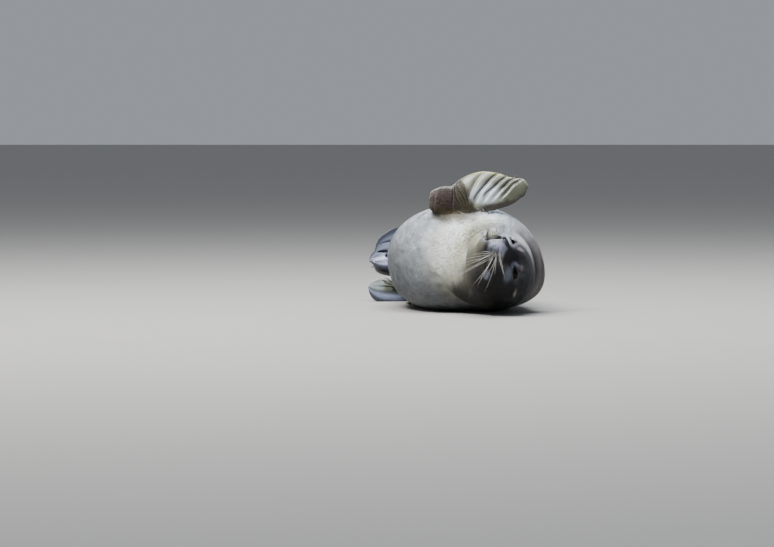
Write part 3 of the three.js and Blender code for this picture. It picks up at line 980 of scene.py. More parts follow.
@dataclass(frozen=True)
class MarkingsAndLight:
    """Colours of skin and coat with painted light and shade, as one function of place both share.
    """

    silver: tuple = (202, 209, 216)
    cream: tuple = (210, 207, 184)
    slate: tuple = (76, 77, 82)
    # painted shade, laid into the nape's fold, the ear slits and the flippers' hollows
    painted_shade: tuple = (20, 20, 24)
    roll: tuple = (156, 146, 141)
    # painted highlight: the pale line where the head's crown meets the nape
    nape_rim_highlight: tuple = (226, 222, 220)
    # painted highlight on the ear's rim
    ear_rim_highlight: tuple = (176, 170, 166)
    follicle: tuple = (40, 42, 56)
    lid: tuple = (12, 12, 16)
    throat: tuple = ((184, 182, 162), (136, 133, 118), (72, 71, 67))  # right, middle and left; the left one darker partly as painted shade, facing the floor
    patches: tuple[Patch, ...] = (
        Patch((-112, 32, 14), (48, 34, 56), (42, 43, 50), 0.9),  # crown
        Patch((-46, 18, 8), (46, 32, 24), (16, 17, 24), 0.98),  # mask over the bridge
        Patch((-84, -4, 48), (54, 38, 28), (48, 46, 48), 0.9),  # left cheek, darker partly as painted shade where it faces the floor
        Patch((-92, -8, -50), (44, 30, 24), (170, 174, 176), 0.8),  # right cheek, paler partly as painted light where it faces up
        Patch((-18, -13, 11.5), (20, 20, 17.5), (160, 163, 184), 0.95, False, 0.22),  # left pad
        Patch((-6, -16, 2), (8, 9, 5), (192, 193, 206), 0.8),  # painted highlight on its top
        Patch((-18, -15, -21), (19, 15, 15), (176, 174, 184), 0.9),  # right pad
        Patch((-18, -30, 14), (17, 6, 16), (60, 60, 66), 0.8, True),  # under the pads
        Patch((-8, -3, -19), (12, 7, 8), (188, 182, 192), 0.8),  # by the right nostril
        Patch((-8, -4, -6.5), (12, 10, 3.5), (18, 18, 23), 0.95),  # painted shade in the cleft under the nose
        Patch((-8, 9, -2), (11, 6.5, 12), (20, 20, 26), 0.95, False, 0.25),  # nose
        Patch((-26, 6, 24), (13, 6, 16), (16, 16, 22), 0.9, True),  # painted shade in a ring over the pads
        Patch((-20, -14, 37), (20, 20, 6), (36, 36, 41), 0.85),  # and painted shade below the left one
        Patch((-24, -34, 10), (14, 6, 18), (70, 70, 74), 0.8),  # lip behind them
        Patch((-59, 11, 38), (11, 9, 14), (152, 160, 178), 0.75),  # under the left eye
        Patch((-60, 24, 22), (12, 8, 8), (140, 145, 168), 0.75),  # painted highlight over the left eye
        Patch((-74, 30, 34), (12, 7, 14), (84, 82, 88), 0.6),  # behind it
        Patch((-70, 33, -37), (17, 12, 11), (182, 172, 178), 0.9),  # round the right eye
        Patch((-62, 39, -14), (9, 9, 4), (206, 194, 196), 0.9),  # right brow spot
        Patch((-60.5, 38, 23.7), (6, 5, 6), (150, 140, 144), 0.9),  # left brow spot
        Patch((-51, -29, 45), (8, 6, 10), (168, 175, 198), 0.85),  # painted wet highlight behind the lip
        Patch((-51, -29, -45), (9, 7, 9), (150, 156, 170), 0.6),  # and a weaker painted highlight to the right
        Patch((-12, -36, -6), (7, 5, 7), (150, 154, 160), 0.85),  # chin
        Patch((-129, -50, 38), (12, 5, 5), (128, 131, 124), 0.7),  # streak on the throat
    )
    armpit_shade: tuple[Patch, ...] = (  # in the working frame; painted shade under the raised flipper
        Patch((-20, 44, 179), (42, 60, 17), (106, 98, 78), 0.85),
        Patch((4, 60, 187), (10, 50, 6), (40, 36, 32), 0.9),
    )

    def head_tone(self, tone: Array, h: Array, rough: Array) -> Array:
        """The head's patches laid over tones in turn, fading out behind the nape.

        Args:
            tone: tones to lay them over.
            h: head points.
            rough: noise from -1 to 1.

        Returns:
            The tones with the patches.
        """
        here = ramp(-165, -138, h[..., 0])
        for patch in self.patches:
            tone = lay(tone, srgb(*patch.colour), patch.share(h, rough) * here)
        return tone

    def throat_tone(self, tone: Array, s: Array, turn: Array, blotch: Array) -> Array:
        """Tone of the throat: cream to the right, olive in the middle, dark to the left, partly as
        painted shade where it faces the floor.

        Its edge on the spine moves back to the left and to the far right, and the chest's fur is
        brighter along it.  Around s = 168 the chest is lightened as painted light, which lifts the
        shade of the hollow between head and chest.

        Args:
            tone: tones of the flanks and belly, which it is laid over.
            s: spine distances.
            turn: angles from the back.
            blotch: noise from -1 to 1.

        Returns:
            The tones with the throat laid over them.
        """
        right, middle, left = (srgb(*colour) for colour in self.throat)
        way = np.sin(turn) + 0.1 * blotch
        # the left side, which faces the floor: partly dark fur, partly painted shade
        low = ramp(0.0, 0.75, way)
        throat = lay(lay(right, middle, ramp(-0.62, -0.05, way)), left, low)
        edge = 122 + 46 * ramp(0.05, 0.5, way) + 9 * blotch + 30 * (1 - ramp(-0.9, -0.6, way))
        belly = ramp(-0.25, 0.25, -np.cos(turn))
        # painted light: lightens the chest over the shaded hollow between head and chest
        painted_fill_light = 0.7 * bell(s - 168, 28) * belly * (1 - ramp(0, 0.5, way))
        fringe = 0.7 * bell(s - edge - 12, 12.0) * belly * (1 - 0.6 * low)
        tone = lay(tone * (1 + painted_fill_light)[..., None], srgb(*self.cream) * 1.2, fringe)
        return lay(tone, throat, (1 - ramp(-14, 14, s - edge)) * belly)

    def trunk_tone(self, p: Array, s: Array, turn: Array, blotch: Array, mottle: Array) -> Array:
        """Tone of back, flanks and belly.

        A dark back fades into silver flanks and a cream belly by the cosine of the turn, and
        noise dapples all, with small dark ticks on the flanks and silver flecks on the back.

        Args:
            p: working points.
            s: spine distances.
            turn: angles from the back.
            blotch: wide noise from -1 to 1.
            mottle: finer noise from -1 to 1.

        Returns:
            Linear colours.
        """
        back = np.cos(turn)
        dark = ramp(-0.05, 0.85, back + 0.30 * blotch + 0.12 * mottle)
        lean = np.arctan2(np.sin(turn), back) + 0.2 * blotch
        dark = dark * np.maximum(ramp(-1.1, -0.35, lean), 0.1 + 0.9 * ramp(300, 430, s))
        # the neck's left side, which faces the floor, is darker: partly dark fur, partly painted
        # shade
        under = ramp(0.3, 0.95, np.sin(turn)) * (1 - ramp(150, 230, s)) * 0.8
        dark = np.clip(np.maximum(dark * 0.9, under), 0, 1)
        belly = ramp(0.2, 0.9, -back)
        warm = belly * (0.1 + 0.5 * (1 - ramp(170, 240, s)))
        tone = lay(srgb(*self.silver), srgb(*self.cream), warm)
        dapple = Noise(17).layered(p * (1, 0.6, 1), 8.5, 2)
        dapple = 1 + 0.3 * (ramp(0.55, 0.8, dapple) - ramp(0.45, 0.2, dapple))
        tone = tone * ((1 + 0.16 * blotch + 0.18 * mottle) * dapple)[..., None]
        tone = lay(tone, srgb(*self.slate) * (1 + 0.35 * mottle)[..., None], dark)
        tick = ramp(0.60, 0.75, Noise(13).layered(p * (1, 0.7, 1), 6.5, 2))
        tone = tone * (1 - 0.35 * tick * (0.15 + 0.85 * (1 - belly)))[..., None]
        fleck = 0.4 * ramp(0.68, 0.80, Noise(14).layered(p, 15, 2)) * dark
        return lay(tone, srgb(*self.silver), fleck)

    def of_body(self, p: Array, s: Array, turn: Array, body: "Body") -> Array:
        """Tone of the body at points.

        The throat and the head's patches are laid over the trunk's tone.  What lies near the
        floor, and the belly's outer edge, is darker: painted shade.  The nape's roll, its pale
        line (a painted highlight) and its fold (painted shade), the ear slits (painted shade)
        and rims (painted highlight), the whiskers' dimples and the armpit's painted shade are
        laid over that.

        Args:
            p: working points.
            s: spine distances.
            turn: angles from the back.
            body: the body, for its folds and its head.

        Returns:
            Linear colours.
        """
        h = body.head.to_local(p)
        blotch = Noise(11).layered(p, 34) * 2 - 1
        mottle = Noise(12).layered(p, 13) * 2 - 1
        tone = self.trunk_tone(p, s, turn, blotch, mottle)
        tone = self.throat_tone(tone, s, turn, blotch)
        tone = self.head_tone(tone, h, mottle)
        # painted shade: darker towards the floor and towards the belly's outer edge
        low = 0.2 + 0.8 * ramp(-20, 165, p[..., 2])
        side = 1 - 0.4 * ramp(-95, -145, p[..., 0]) * ramp(150, 220, s)
        tone = tone * (low * side)[..., None]
        roll = srgb(*self.roll) * (0.75 + 0.25 * mottle)[..., None]
        for colour, at, width, share in (
            (roll, body.roll_at, 15.0, 0.7 + 0.25 * blotch),
            # painted highlight: the pale line along the head's crown
            (srgb(*self.nape_rim_highlight), body.line_at, 2.6, 0.95),
            # painted shade in the nape's fold
            (srgb(*self.painted_shade), body.fold_at, 3.0, 0.95),
        ):
            tone = lay(tone, colour, body.crown_line(s, turn, at, width) * share)
        # painted highlight on the ear's raised rim and painted shade in its slit
        slit, rim = body.head.ear(h)
        tone = lay(lay(tone, srgb(*self.ear_rim_highlight), 0.85 * rim), srgb(*self.painted_shade), slit)
        tone = lay(tone, srgb(*self.follicle), 0.85 * np.sqrt(body.head.dimples(h)))
        # painted shade under the raised flipper
        for patch in self.armpit_shade:
            tone = lay(tone, srgb(*patch.colour), patch.share(p, mottle))
        return np.clip(tone, 0.003, 0.9)

    def of_blade(self, blade: "Blade", p: Array, t: Array, turn: Array) -> Array:
        """Tone of a flipper at points.

        Back, palm, arm and stains are laid over each other, with painted shade in the hollows,
        streaks along the arm and a mottle over all.  Some of the stains are painted highlights
        and painted shade.

        Args:
            blade: the flipper.
            p: working points.
            t: shares of the length.
            turn: angles from the leading edge.

        Returns:
            Linear colours.
        """
        look = LOOKS[blade.name]
        mottle = Noise(15).layered(p, 9) * 2 - 1
        c, sn = np.cos(turn), np.sin(turn)
        palm = ramp(-0.25, 0.25, -sn * look.palm_face)
        arm = 1 - ramp(look.arm_from, look.arm_to, t)
        tone = lay(lay(srgb(*look.back), srgb(*look.palm), palm), srgb(*look.arm), arm)
        # stains, some of which are painted highlights and painted shade
        for blade_mark in look.stains_and_light:
            tone = lay(tone, srgb(*blade_mark.colour), blade_mark.share(t, c, mottle) * (0.25 + 0.75 * palm))
        # painted shade in the hollows: webs, creases, slits and wrinkles, by their depth
        hollow = 0.9 * np.clip(blade.detail(t, c, sn) * 0.75, 0, 1)
        tone = lay(tone, srgb(*self.painted_shade), hollow)
        streak = Noise(16).layered(np.stack([t * 5, c * 26, sn * 3], axis=-1), 1.0, 2) * 2 - 1
        tone = tone * ((1 + 0.55 * streak * arm) * (1 + 0.20 * mottle))[..., None]
        return np.clip(tone, 0.003, 0.9)


@dataclass(frozen=True)
class StainAndLight:
    """A stain, painted highlight or shade on a flipper: a soft oval in shares of length and edge.
    """

    t: float
    c: float
    long: float
    wide: float
    colour: tuple
    strength: float = 0.85

    def share(self, t: Array, c: Array, rough: Array) -> Array:
        """How much shows: a smooth step on the scaled distance, roughened by noise."""
        r = np.hypot((t - self.t) / self.long, (c - self.c) / self.wide) + 0.18 * rough
        return self.strength * (1 - ramp(0.55, 1.35, r))


@dataclass(frozen=True)
class BladeLook:
    """Colours of a flipper's palm, back and arm, and how bare and how furred it is."""

    palm: tuple
    back: tuple
    arm: tuple
    stains_and_light: tuple[StainAndLight, ...] = ()
    palm_face: float = 1.0
    arm_from: float = 0.22
    arm_to: float = 0.42
    bare: float = 0.8
    bare_from: float = 0.3
    fur: float = 3.5


BARE_HIND = {
    "palm_face": -1.0,
    "arm_from": 0.1,
    "arm_to": 0.3,
    "bare": 0.95,
    "bare_from": 0.05,
    "fur": 2.0,
}
LOOKS = {
    "foreflipper_right": BladeLook(
        (126, 128, 114),
        (112, 114, 108),
        (76, 68, 62),
        (
            StainAndLight(0.0, -0.3, 0.1, 1.8, (128, 120, 114), 0.5),  # pale where the arm leaves the chest
            StainAndLight(0.14, 0.1, 0.15, 0.8, (80, 62, 61), 0.65),  # reddish forearm
            StainAndLight(0.16, -1.0, 0.2, 0.24, (176, 172, 168), 0.8),  # pale upper edge
            StainAndLight(0.2, 0.9, 0.16, 0.4, (84, 76, 54), 0.75),  # yellowish armpit
            StainAndLight(0.36, 0.1, 0.08, 1.1, (76, 68, 52), 0.85),  # wrist
            StainAndLight(0.58, 0.15, 0.15, 0.5, (178, 187, 192), 0.95),  # bright middle of the palm: paler skin with a painted highlight
            StainAndLight(0.88, 0.1, 0.18, 0.9, (74, 75, 62), 0.9),  # finger ends
            StainAndLight(0.66, 1.0, 0.42, 0.34, (48, 42, 39), 0.95),  # leading edge
            StainAndLight(0.7, -1.0, 0.26, 0.16, (150, 144, 98), 0.9),  # thin trailing edge
        ),
    ),
    "foreflipper_left": BladeLook((80, 80, 78), (104, 106, 104), (96, 94, 90)),
    "hind_flipper_right": BladeLook(
        (76, 80, 94),
        (54, 57, 68),
        (64, 67, 78),
        (
            StainAndLight(0.8, 0.0, 0.3, 0.6, (150, 156, 178), 0.95),  # painted highlight on the middle of the sole
            StainAndLight(0.66, -1.0, 0.5, 0.2, (44, 46, 58), 0.8),  # dark upper edge
            StainAndLight(0.72, -0.5, 0.3, 0.3, (132, 138, 158), 0.8),  # sheen under it
            StainAndLight(0.75, 1.0, 0.5, 0.42, (20, 21, 26), 0.9),  # painted shade along the lower edge
            StainAndLight(0.97, 0.4, 0.1, 0.6, (30, 31, 38), 0.7),  # painted shade at the toe ends, between the hind flippers
        ),
        **BARE_HIND,
    ),
    "hind_flipper_left": BladeLook(
        (116, 122, 112),
        (56, 60, 70),
        (84, 86, 88),
        (
            StainAndLight(0.92, -0.3, 0.09, 0.5, (160, 170, 170), 0.85),  # pale tip of the sole
            StainAndLight(0.74, -0.25, 0.14, 0.5, (80, 82, 70), 0.9),  # olive hollow
            StainAndLight(0.75, -0.97, 0.4, 0.16, (168, 174, 168), 0.85),  # pale upper edge
            StainAndLight(0.7, 0.95, 0.8, 0.95, (52, 56, 70), 0.97),  # outer digit
            StainAndLight(0.72, 0.42, 0.4, 0.24, (124, 131, 152), 0.85),  # its sheen
        ),
        **BARE_HIND,
    ),
}


# ---- meshes
@dataclass
class Faces:
    """Faces of one size, with a corner's texture place for each of their corners."""

    corners: Array
    places: Array | None = None


def mesh_object(
    name: str, points: Array, groups: list[Faces], uv_name: str = "Fur"
) -> bpy.types.Object:
    """Puts arrays into a new smooth-shaded mesh object.

    Args:
        name: the object's name.
        points: vertices in metres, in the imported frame.
        groups: faces, by size.
        uv_name: name of the texture map that the groups' places go to.

    Returns:
        The object, linked to the scene.
    """
    mesh = bpy.data.meshes.new(name)
    corners = np.concatenate([g.corners.ravel() for g in groups])
    sizes = np.concatenate([np.full(len(g.corners), g.corners.shape[1]) for g in groups])
    mesh.vertices.add(len(points))
    mesh.loops.add(len(corners))
    mesh.polygons.add(len(sizes))
    mesh.vertices.foreach_set("co", np.asarray(points, np.float32).ravel())
    mesh.loops.foreach_set("vertex_index", corners.astype(np.int32))
    starts = np.concatenate([[0], np.cumsum(sizes)[:-1]])
    mesh.polygons.foreach_set("loop_start", starts.astype(np.int32))
    mesh.update(calc_edges=True)
    if groups[0].places is not None:
        layer = mesh.uv_layers.new(name=uv_name)
        places = np.concatenate([g.places.reshape(-1, 2) for g in groups])
        layer.data.foreach_set("uv", places.astype(np.float32).ravel())
    mesh.shade_smooth()
    mesh.validate(clean_customdata=False)
    made = bpy.data.objects.new(name, mesh)
    bpy.context.scene.collection.objects.link(made)
    return made


ATTRIBUTE_KINDS = {  # by how many numbers a vertex has
    1: ("FLOAT", "value"),
    2: ("FLOAT2", "vector"),
    3: ("FLOAT_VECTOR", "vector"),
    4: ("FLOAT_COLOR", "color"),
}


def set_attribute(mesh: bpy.types.Mesh, name: str, values: Array) -> None:
    """Stores values on a mesh's vertices, in a new attribute or over an old one.

    Args:
        mesh: the mesh.
        name: the attribute's name.
        values: a number, pair, vector or colour for each vertex.
    """
    values = np.asarray(values, np.float32).reshape(len(mesh.vertices), -1)
    kind, key = ATTRIBUTE_KINDS[values.shape[1]]
    layer = mesh.attributes.get(name) or mesh.attributes.new(name, kind, "POINT")
    layer.data.foreach_set(key, values.ravel())


def get_attribute(mesh: bpy.types.Mesh, name: str, width: int) -> Array:
    """Reads a vertex attribute back.

    Args:
        mesh: the mesh.
        name: the attribute's name.
        width: how many numbers a vertex has.

    Returns:
        An array with a row for each vertex.
    """
    values = np.zeros(len(mesh.vertices) * width, np.float32)
    mesh.attributes[name].data.foreach_get(ATTRIBUTE_KINDS[width][1], values)
    return values.reshape(-1, width).astype(float)


def coordinates(mesh: bpy.types.Mesh) -> Array:
    """Positions of a mesh's vertices.

    Args:
        mesh: the mesh.

    Returns:
        An array with a row for each vertex.
    """
    points = np.zeros(len(mesh.vertices) * 3, np.float32)
    mesh.vertices.foreach_get("co", points)
    return points.reshape(-1, 3).astype(float)


def colours(tone: Array) -> Array:
    """Colours with an alpha of 1 added."""
    return np.concatenate([tone, np.ones(tone.shape[:-1] + (1,))], axis=-1)


def tube_faces(rings: int, count: int, wrap: tuple = (1.0, 1.0)) -> list[Faces]:
    """Faces of a closed tube whose vertices are a first pole, the rings in turn, a last pole.

    Quads join each ring to the next and fans close the ends.  The texture place of a corner is
    its column and its row, scaled by `wrap`.

    Args:
        rings: number of rings.
        count: vertices in a ring.
        wrap: texture size round a ring and along the rows.

    Returns:
        The quads and the fans.
    """
    i, j = np.meshgrid(np.arange(rings - 1), np.arange(count), indexing="ij")
    i, j = i.ravel(), j.ravel()
    k = (j + 1) % count
    first = 1 + i * count
    quads = np.stack([first + j, first + k, first + count + k, first + count + j], axis=1)
    across = np.stack([j, j + 1, j + 1, j], axis=1) / count * wrap[0]
    along = np.stack([i, i, i + 1, i + 1], axis=1) / rings * wrap[1]
    j = np.arange(count)
    k = (j + 1) % count
    last = 1 + (rings - 1) * count
    zero = np.zeros(count, int)
    fans = np.concatenate(
        [
            np.stack([zero, 1 + k, 1 + j], axis=1),
            np.stack([last + j, last + k, zero + last + count], axis=1),
        ]
    )
    low = np.stack([j + 0.5, j + 1, j], axis=1) / count * wrap[0]
    high = np.stack([j, j + 1, j + 0.5], axis=1) / count * wrap[0]
    down = np.repeat([[-1, 0, 0], [rings - 1, rings - 1, rings]], count, axis=0)
    fan_places = np.stack([np.concatenate([low, high]), down / rings * wrap[1]], axis=-1)
    return [Faces(quads, np.stack([across, along], axis=-1)), Faces(fans, fan_places)]


@dataclass
class Shell:
    """A closed surface of rings between two poles, with what its skin and coat need.

    Points have a row for each vertex: the first pole, the rings in turn, the last pole.  What
    it carries has a row for each place of the grid of rings.
    """

    name: str
    points: Array
    shape: tuple[int, int]  # rings, and vertices in a ring
    carried: dict[str, Array]
    wrap: tuple

    def to_object(self, part: int) -> bpy.types.Object:
        """The shell as a mesh object that carries its arrays as vertex attributes.

        Args:
            part: the shell's number, from 1, which marks its vertices.

        Returns:
            The object.
        """
        faces = tube_faces(*self.shape, self.wrap)
        made = mesh_object(self.name, WORKING.to_frame(self.points), faces)
        for name, values in self.carried.items():
            set_attribute(made.data, name, with_poles(values))
        set_attribute(made.data, "Part", np.full(len(self.points), float(part)))
        return made


def closed(first: Array, grid: Array, last: Array) -> Array:
    """Rows for a closed tube's vertices from its poles and its grid of rings."""
    flat = grid.reshape((-1,) + grid.shape[2:])
    return np.concatenate([np.asarray(first)[None], flat, np.asarray(last)[None]])


def with_poles(grid: Array) -> Array:
    """Rows for a closed tube's vertices, with each pole given its ring's mean."""
    return closed(grid[0].mean(axis=0), grid, grid[-1].mean(axis=0))


def grid_normals(points: Array) -> Array:
    """Outward unit vectors: the step round a ring crossed with the step along the rows."""
    around = np.roll(points, -1, axis=1) - np.roll(points, 1, axis=1)
    return unit(np.cross(around, np.gradient(points, axis=0)))


# ---- skin
@dataclass
class Skin:
    """One skin over head, body and flippers, inside the solids by the coat's depth."""

    body: Body
    flippers: tuple[Blade, ...]
    markings_and_light: MarkingsAndLight = MarkingsAndLight()
    body_depth: float = 1.3  # how far the skin lies inside the solids, mm
    face_depth: float = 0.5
    blade_depth: float = 0.45
    floor_gap: float = 0.3
    seam_reach: float = 15.0
    seam_rounds: int = 90
    seam_pull: float = 0.6
    fill_rounds: int = 12
    atlas_edge: float = 0.02
    body_share: float = 0.66

    def sink(self, points: Array, depth: Array) -> Array:
        """Moves a grid inwards, less where it lies on the floor.

        Args:
            points: working points of a ringed grid.
            depth: how far each moves, in mm.

        Returns:
            The moved points.
        """
        free = ramp(0, 10, points[..., 2])
        depth = depth * free + self.floor_gap * (1 - free)
        sunk = points - grid_normals(points) * depth[..., None]
        sunk[..., 2] = np.maximum(sunk[..., 2], self.floor_gap)
        return sunk

    def fur_length(self, p: Array, s: Array, turn: Array, far: Array) -> Array:
        """Length of the body's fur.

        It is shortest on the face and grows to the trunk, longer at the throat's edge and at the
        armpit, and shorter over the nape's line.

        Args:
            p: working points.
            s: spine distances.
            turn: angles from the back.
            far: distances from the nose.

        Returns:
            The length at each point, in mm.
        """
        body = self.body
        fur = 1.6 + 1.6 * ramp(15, 60, far) + 4.4 * ramp(70, 230, far)
        fur = fur + 2.6 * bell(s - 138, 18) * ramp(0.2, 0.8, -np.cos(turn))
        fur = fur + 3.5 * self.markings_and_light.armpit_shade[0].share(p, np.zeros(s.shape))
        fur = fur * (1 - 0.4 * body.crown_line(s, turn, body.line_at + 4, 30.0))
        return fur * (1 - 0.5 * body.crown_line(s, turn, body.line_at, 9.0))

    def bare_face(self, h: Array) -> tuple[Array, Array, Array]:
        """How bare the skin of the face is: round steps at the nose and lids, a bell at the lips.

        Args:
            h: head points.

        Returns:
            The shares of all bare skin, of the lids' rims and of the lips, from 0 to 1.
        """
        head = self.body.head
        nose = 1 - ramp(8, 13, np.linalg.norm(h * (1, 1, 0.75), axis=-1))
        rims = 1 - ramp(0.8, 3.4, head.lid_hollow(h)[0])
        lips = 0.7 * bell(h[..., 1] - head.mouth_up, 2.2) * ramp(-60, -50, h[..., 0])
        return np.clip(np.maximum(np.maximum(nose, rims), lips), 0, 1), rims, lips

    def body_shell(self) -> Shell:
        """The body's shell, with the fur lying from the nose to the tail.

        Its place on the atlas is the turn across and the share of the way along the body.

        Returns:
            The shell.
        """
        body = self.body
        s, tilt = body.rows()
        turn = np.arange(body.columns) / body.columns * TAU
        grid_s, grid_turn = np.meshgrid(s, turn, indexing="ij")
        grid_tilt = np.repeat(tilt[:, None], body.columns, axis=1)
        outer = body.surface(grid_s, grid_tilt, grid_turn)
        h = body.head.to_local(outer)
        far = np.linalg.norm(h, axis=-1)
        depth = self.face_depth + (self.body_depth - self.face_depth) * ramp(60, 190, far)
        points = self.sink(outer, depth)
        tone = self.markings_and_light.of_body(outer, grid_s, grid_turn, body)
        bare, rims, lips = self.bare_face(h)
        tone = lay(tone, srgb(*self.markings_and_light.lid), rims) * (1 - 0.8 * lips)[..., None]
        fur = self.fur_length(outer, grid_s, grid_turn, far)
        pole = body.surface(np.array([body.pole_depth]), np.zeros(1), np.zeros(1))[0]
        forward = body.axes_at(np.array([body.tail_end]))[0][0]
        tip = body.path(body.tail_end) - forward * 2
        steps = np.linalg.norm(np.diff(points.mean(axis=1), axis=0), axis=1) + 0.6
        share = np.concatenate([[0], np.cumsum(steps)])
        share = np.repeat((share / share[-1])[:, None], body.columns, axis=1)
        across = (1 - 2 * self.atlas_edge) * grid_turn / TAU
        atlas = self.atlas_edge + np.stack([across, self.body_share * share], axis=-1)
        lie = unit(np.gradient(points, axis=0))
        carried = {"Tone": colours(tone), "Lie": lie, "Bare": bare, "Length": fur, "Atlas": atlas}
        return Shell("skin", closed(pole, points, tip), grid_s.shape, carried, (0.62, 0.85))

    def blade_shell(self, blade: Blade) -> Shell:
        """A flipper's shell, with the fur lying along it and shortening to the digits.

        Args:
            blade: the flipper.

        Returns:
            The shell.
        """
        look = LOOKS[blade.name]
        outer, t, turn = blade.surface()
        points = self.sink(outer, np.full(t.shape, self.blade_depth))
        lie = unit(np.gradient(points, axis=0))
        tone = self.markings_and_light.of_blade(blade, outer, t, turn)
        bare = np.full(t.shape, look.bare) * ramp(look.bare_from, look.bare_from + 0.15, t)
        fur = look.fur * (1.3 - 0.6 * t)
        row = self.atlas_edge * 2 + self.body_share + blade.atlas_row * 0.07
        atlas = np.stack([0.05 + 0.9 * t, row + 0.055 * turn / TAU], axis=-1)
        points = closed(blade.path(0.0), points, blade.path(blade.length))
        carried = {"Tone": colours(tone), "Lie": lie, "Bare": bare, "Length": fur, "Atlas": atlas}
        wrap = (0.16, blade.length / 1000)
        return Shell(blade.name + "_shell", points, t.shape, carried, wrap)

    def join(self, main: bpy.types.Object, others: list[bpy.types.Object]) -> None:
        """Joins the flippers to the body as one closed surface, then drops their objects.

        Args:
            main: the body's object, whose mesh is replaced.
            others: the flippers' objects.
        """
        for other in others:
            cut = main.modifiers.new(other.name, "BOOLEAN")
            cut.operation = "UNION"
            cut.solver = "MANIFOLD"
            cut.object = other
        graph = bpy.context.evaluated_depsgraph_get()
        whole = bpy.data.meshes.new_from_object(main.evaluated_get(graph))
        whole.validate(clean_customdata=False)
        main.modifiers.clear()
        old = main.data
        main.data = whole
        bpy.data.meshes.remove(old)
        for other in others:
            bpy.data.objects.remove(other)

    def heal(self, mesh: bpy.types.Mesh) -> None:
        """Fills in what the cut left blank and rounds the joins off.

        A vertex that the cut made has no part number, and a join runs wherever the numbers of
        neighbours differ.

        Args:
            mesh: the joined mesh.
        """
        edges = np.zeros(len(mesh.edges) * 2, np.int32)
        mesh.edges.foreach_get("vertices", edges)
        a, b = edges.reshape(-1, 2).T
        both, other = np.concatenate([a, b]), np.concatenate([b, a])
        part = get_attribute(mesh, "Part", 1)[:, 0]
        blank = part < 0.99
        seam = blank.copy()
        seam[both[np.abs(part[both] - part[other]) > 0.01]] = True
        LOG.info("join: %d vertices, %d blank, %d on seams", len(part), blank.sum(), seam.sum())
        for name, width in (("Tone", 4), ("Lie", 3), ("Bare", 1), ("Length", 1), ("Atlas", 2)):
            values = get_attribute(mesh, name, width)
            set_attribute(mesh, name, self.filled(values, blank, both, other))
        if seam.any():
            self.round_off(mesh, seam, both, other)

    def filled(self, values: Array, blank: Array, both: Array, other: Array) -> Array:
        """Gives blank vertices the mean of their neighbours' values, ring by ring.

        Args:
            values: a row for each vertex.
            blank: True where the row is missing.
            both: both ends of all edges.
            other: their opposite ends.

        Returns:
            The values with the blanks filled.
        """
        known = (~blank).astype(float)
        for _ in range(self.fill_rounds):
            total = np.zeros(values.shape)
            weight = np.zeros(len(values))
            np.add.at(total, both, values[other] * known[other, None])
            np.add.at(weight, both, known[other])
            fill = blank & (known == 0) & (weight > 0)
            values[fill] = total[fill] / weight[fill, None]
            known[fill] = 1.0
        return values

    def round_off(self, mesh: bpy.types.Mesh, seam: Array, both: Array, other: Array) -> None:
        """Moves vertices near a join towards their neighbours' mean, less the further off.

        Args:
            mesh: the joined mesh.
            seam: True for vertices on a join.
            both: both ends of all edges.
            other: their opposite ends.
        """
        points = coordinates(mesh)
        count = len(points)
        marks = points[seam]
        near = np.full(count, 1e9)
        reach = self.seam_reach / WORKING.metre
        low, high = marks.min(axis=0) - reach, marks.max(axis=0) + reach
        maybe = np.nonzero(np.all((points > low) & (points < high), axis=1))[0]
        for at in np.array_split(maybe, max(1, len(maybe) // 2000)):
            gap = np.linalg.norm(points[at][:, None] - marks[None], axis=-1)
            near[at] = gap.min(axis=1)
        pull = self.seam_pull * (1 - ramp(0.25, 1.0, near / reach))
        valence = np.maximum(np.bincount(both, minlength=count), 1)[:, None]
        for _ in range(self.seam_rounds):
            total = np.zeros((count, 3))
            for axis in range(3):
                total[:, axis] = np.bincount(both, points[other, axis], minlength=count)
            points += pull[:, None] * (total / valence - points)
        mesh.vertices.foreach_set("co", points.astype(np.float32).ravel())
        mesh.update()

    def build(self) -> bpy.types.Object:
        """Builds the skin, dresses it and lets it stand for the nodes of flesh.

        Returns:
            The skin's object.
        """
        main = self.body_shell().to_object(1)
        others = [self.blade_shell(b).to_object(k + 2) for k, b in enumerate(self.flippers)]
        self.join(main, others)
        self.heal(main.data)
        main.name = "skin"
        main.data.shade_smooth()
        main.data.materials.clear()
        main.data.materials.append(CoatFinish().material())
        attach(main, "root")
        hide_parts("head", "neck", "trunk", "hindquarters", "tail")
        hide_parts(*[b.name for b in self.flippers])
        LOG.info("skin: %d faces", len(main.data.polygons))
        return main


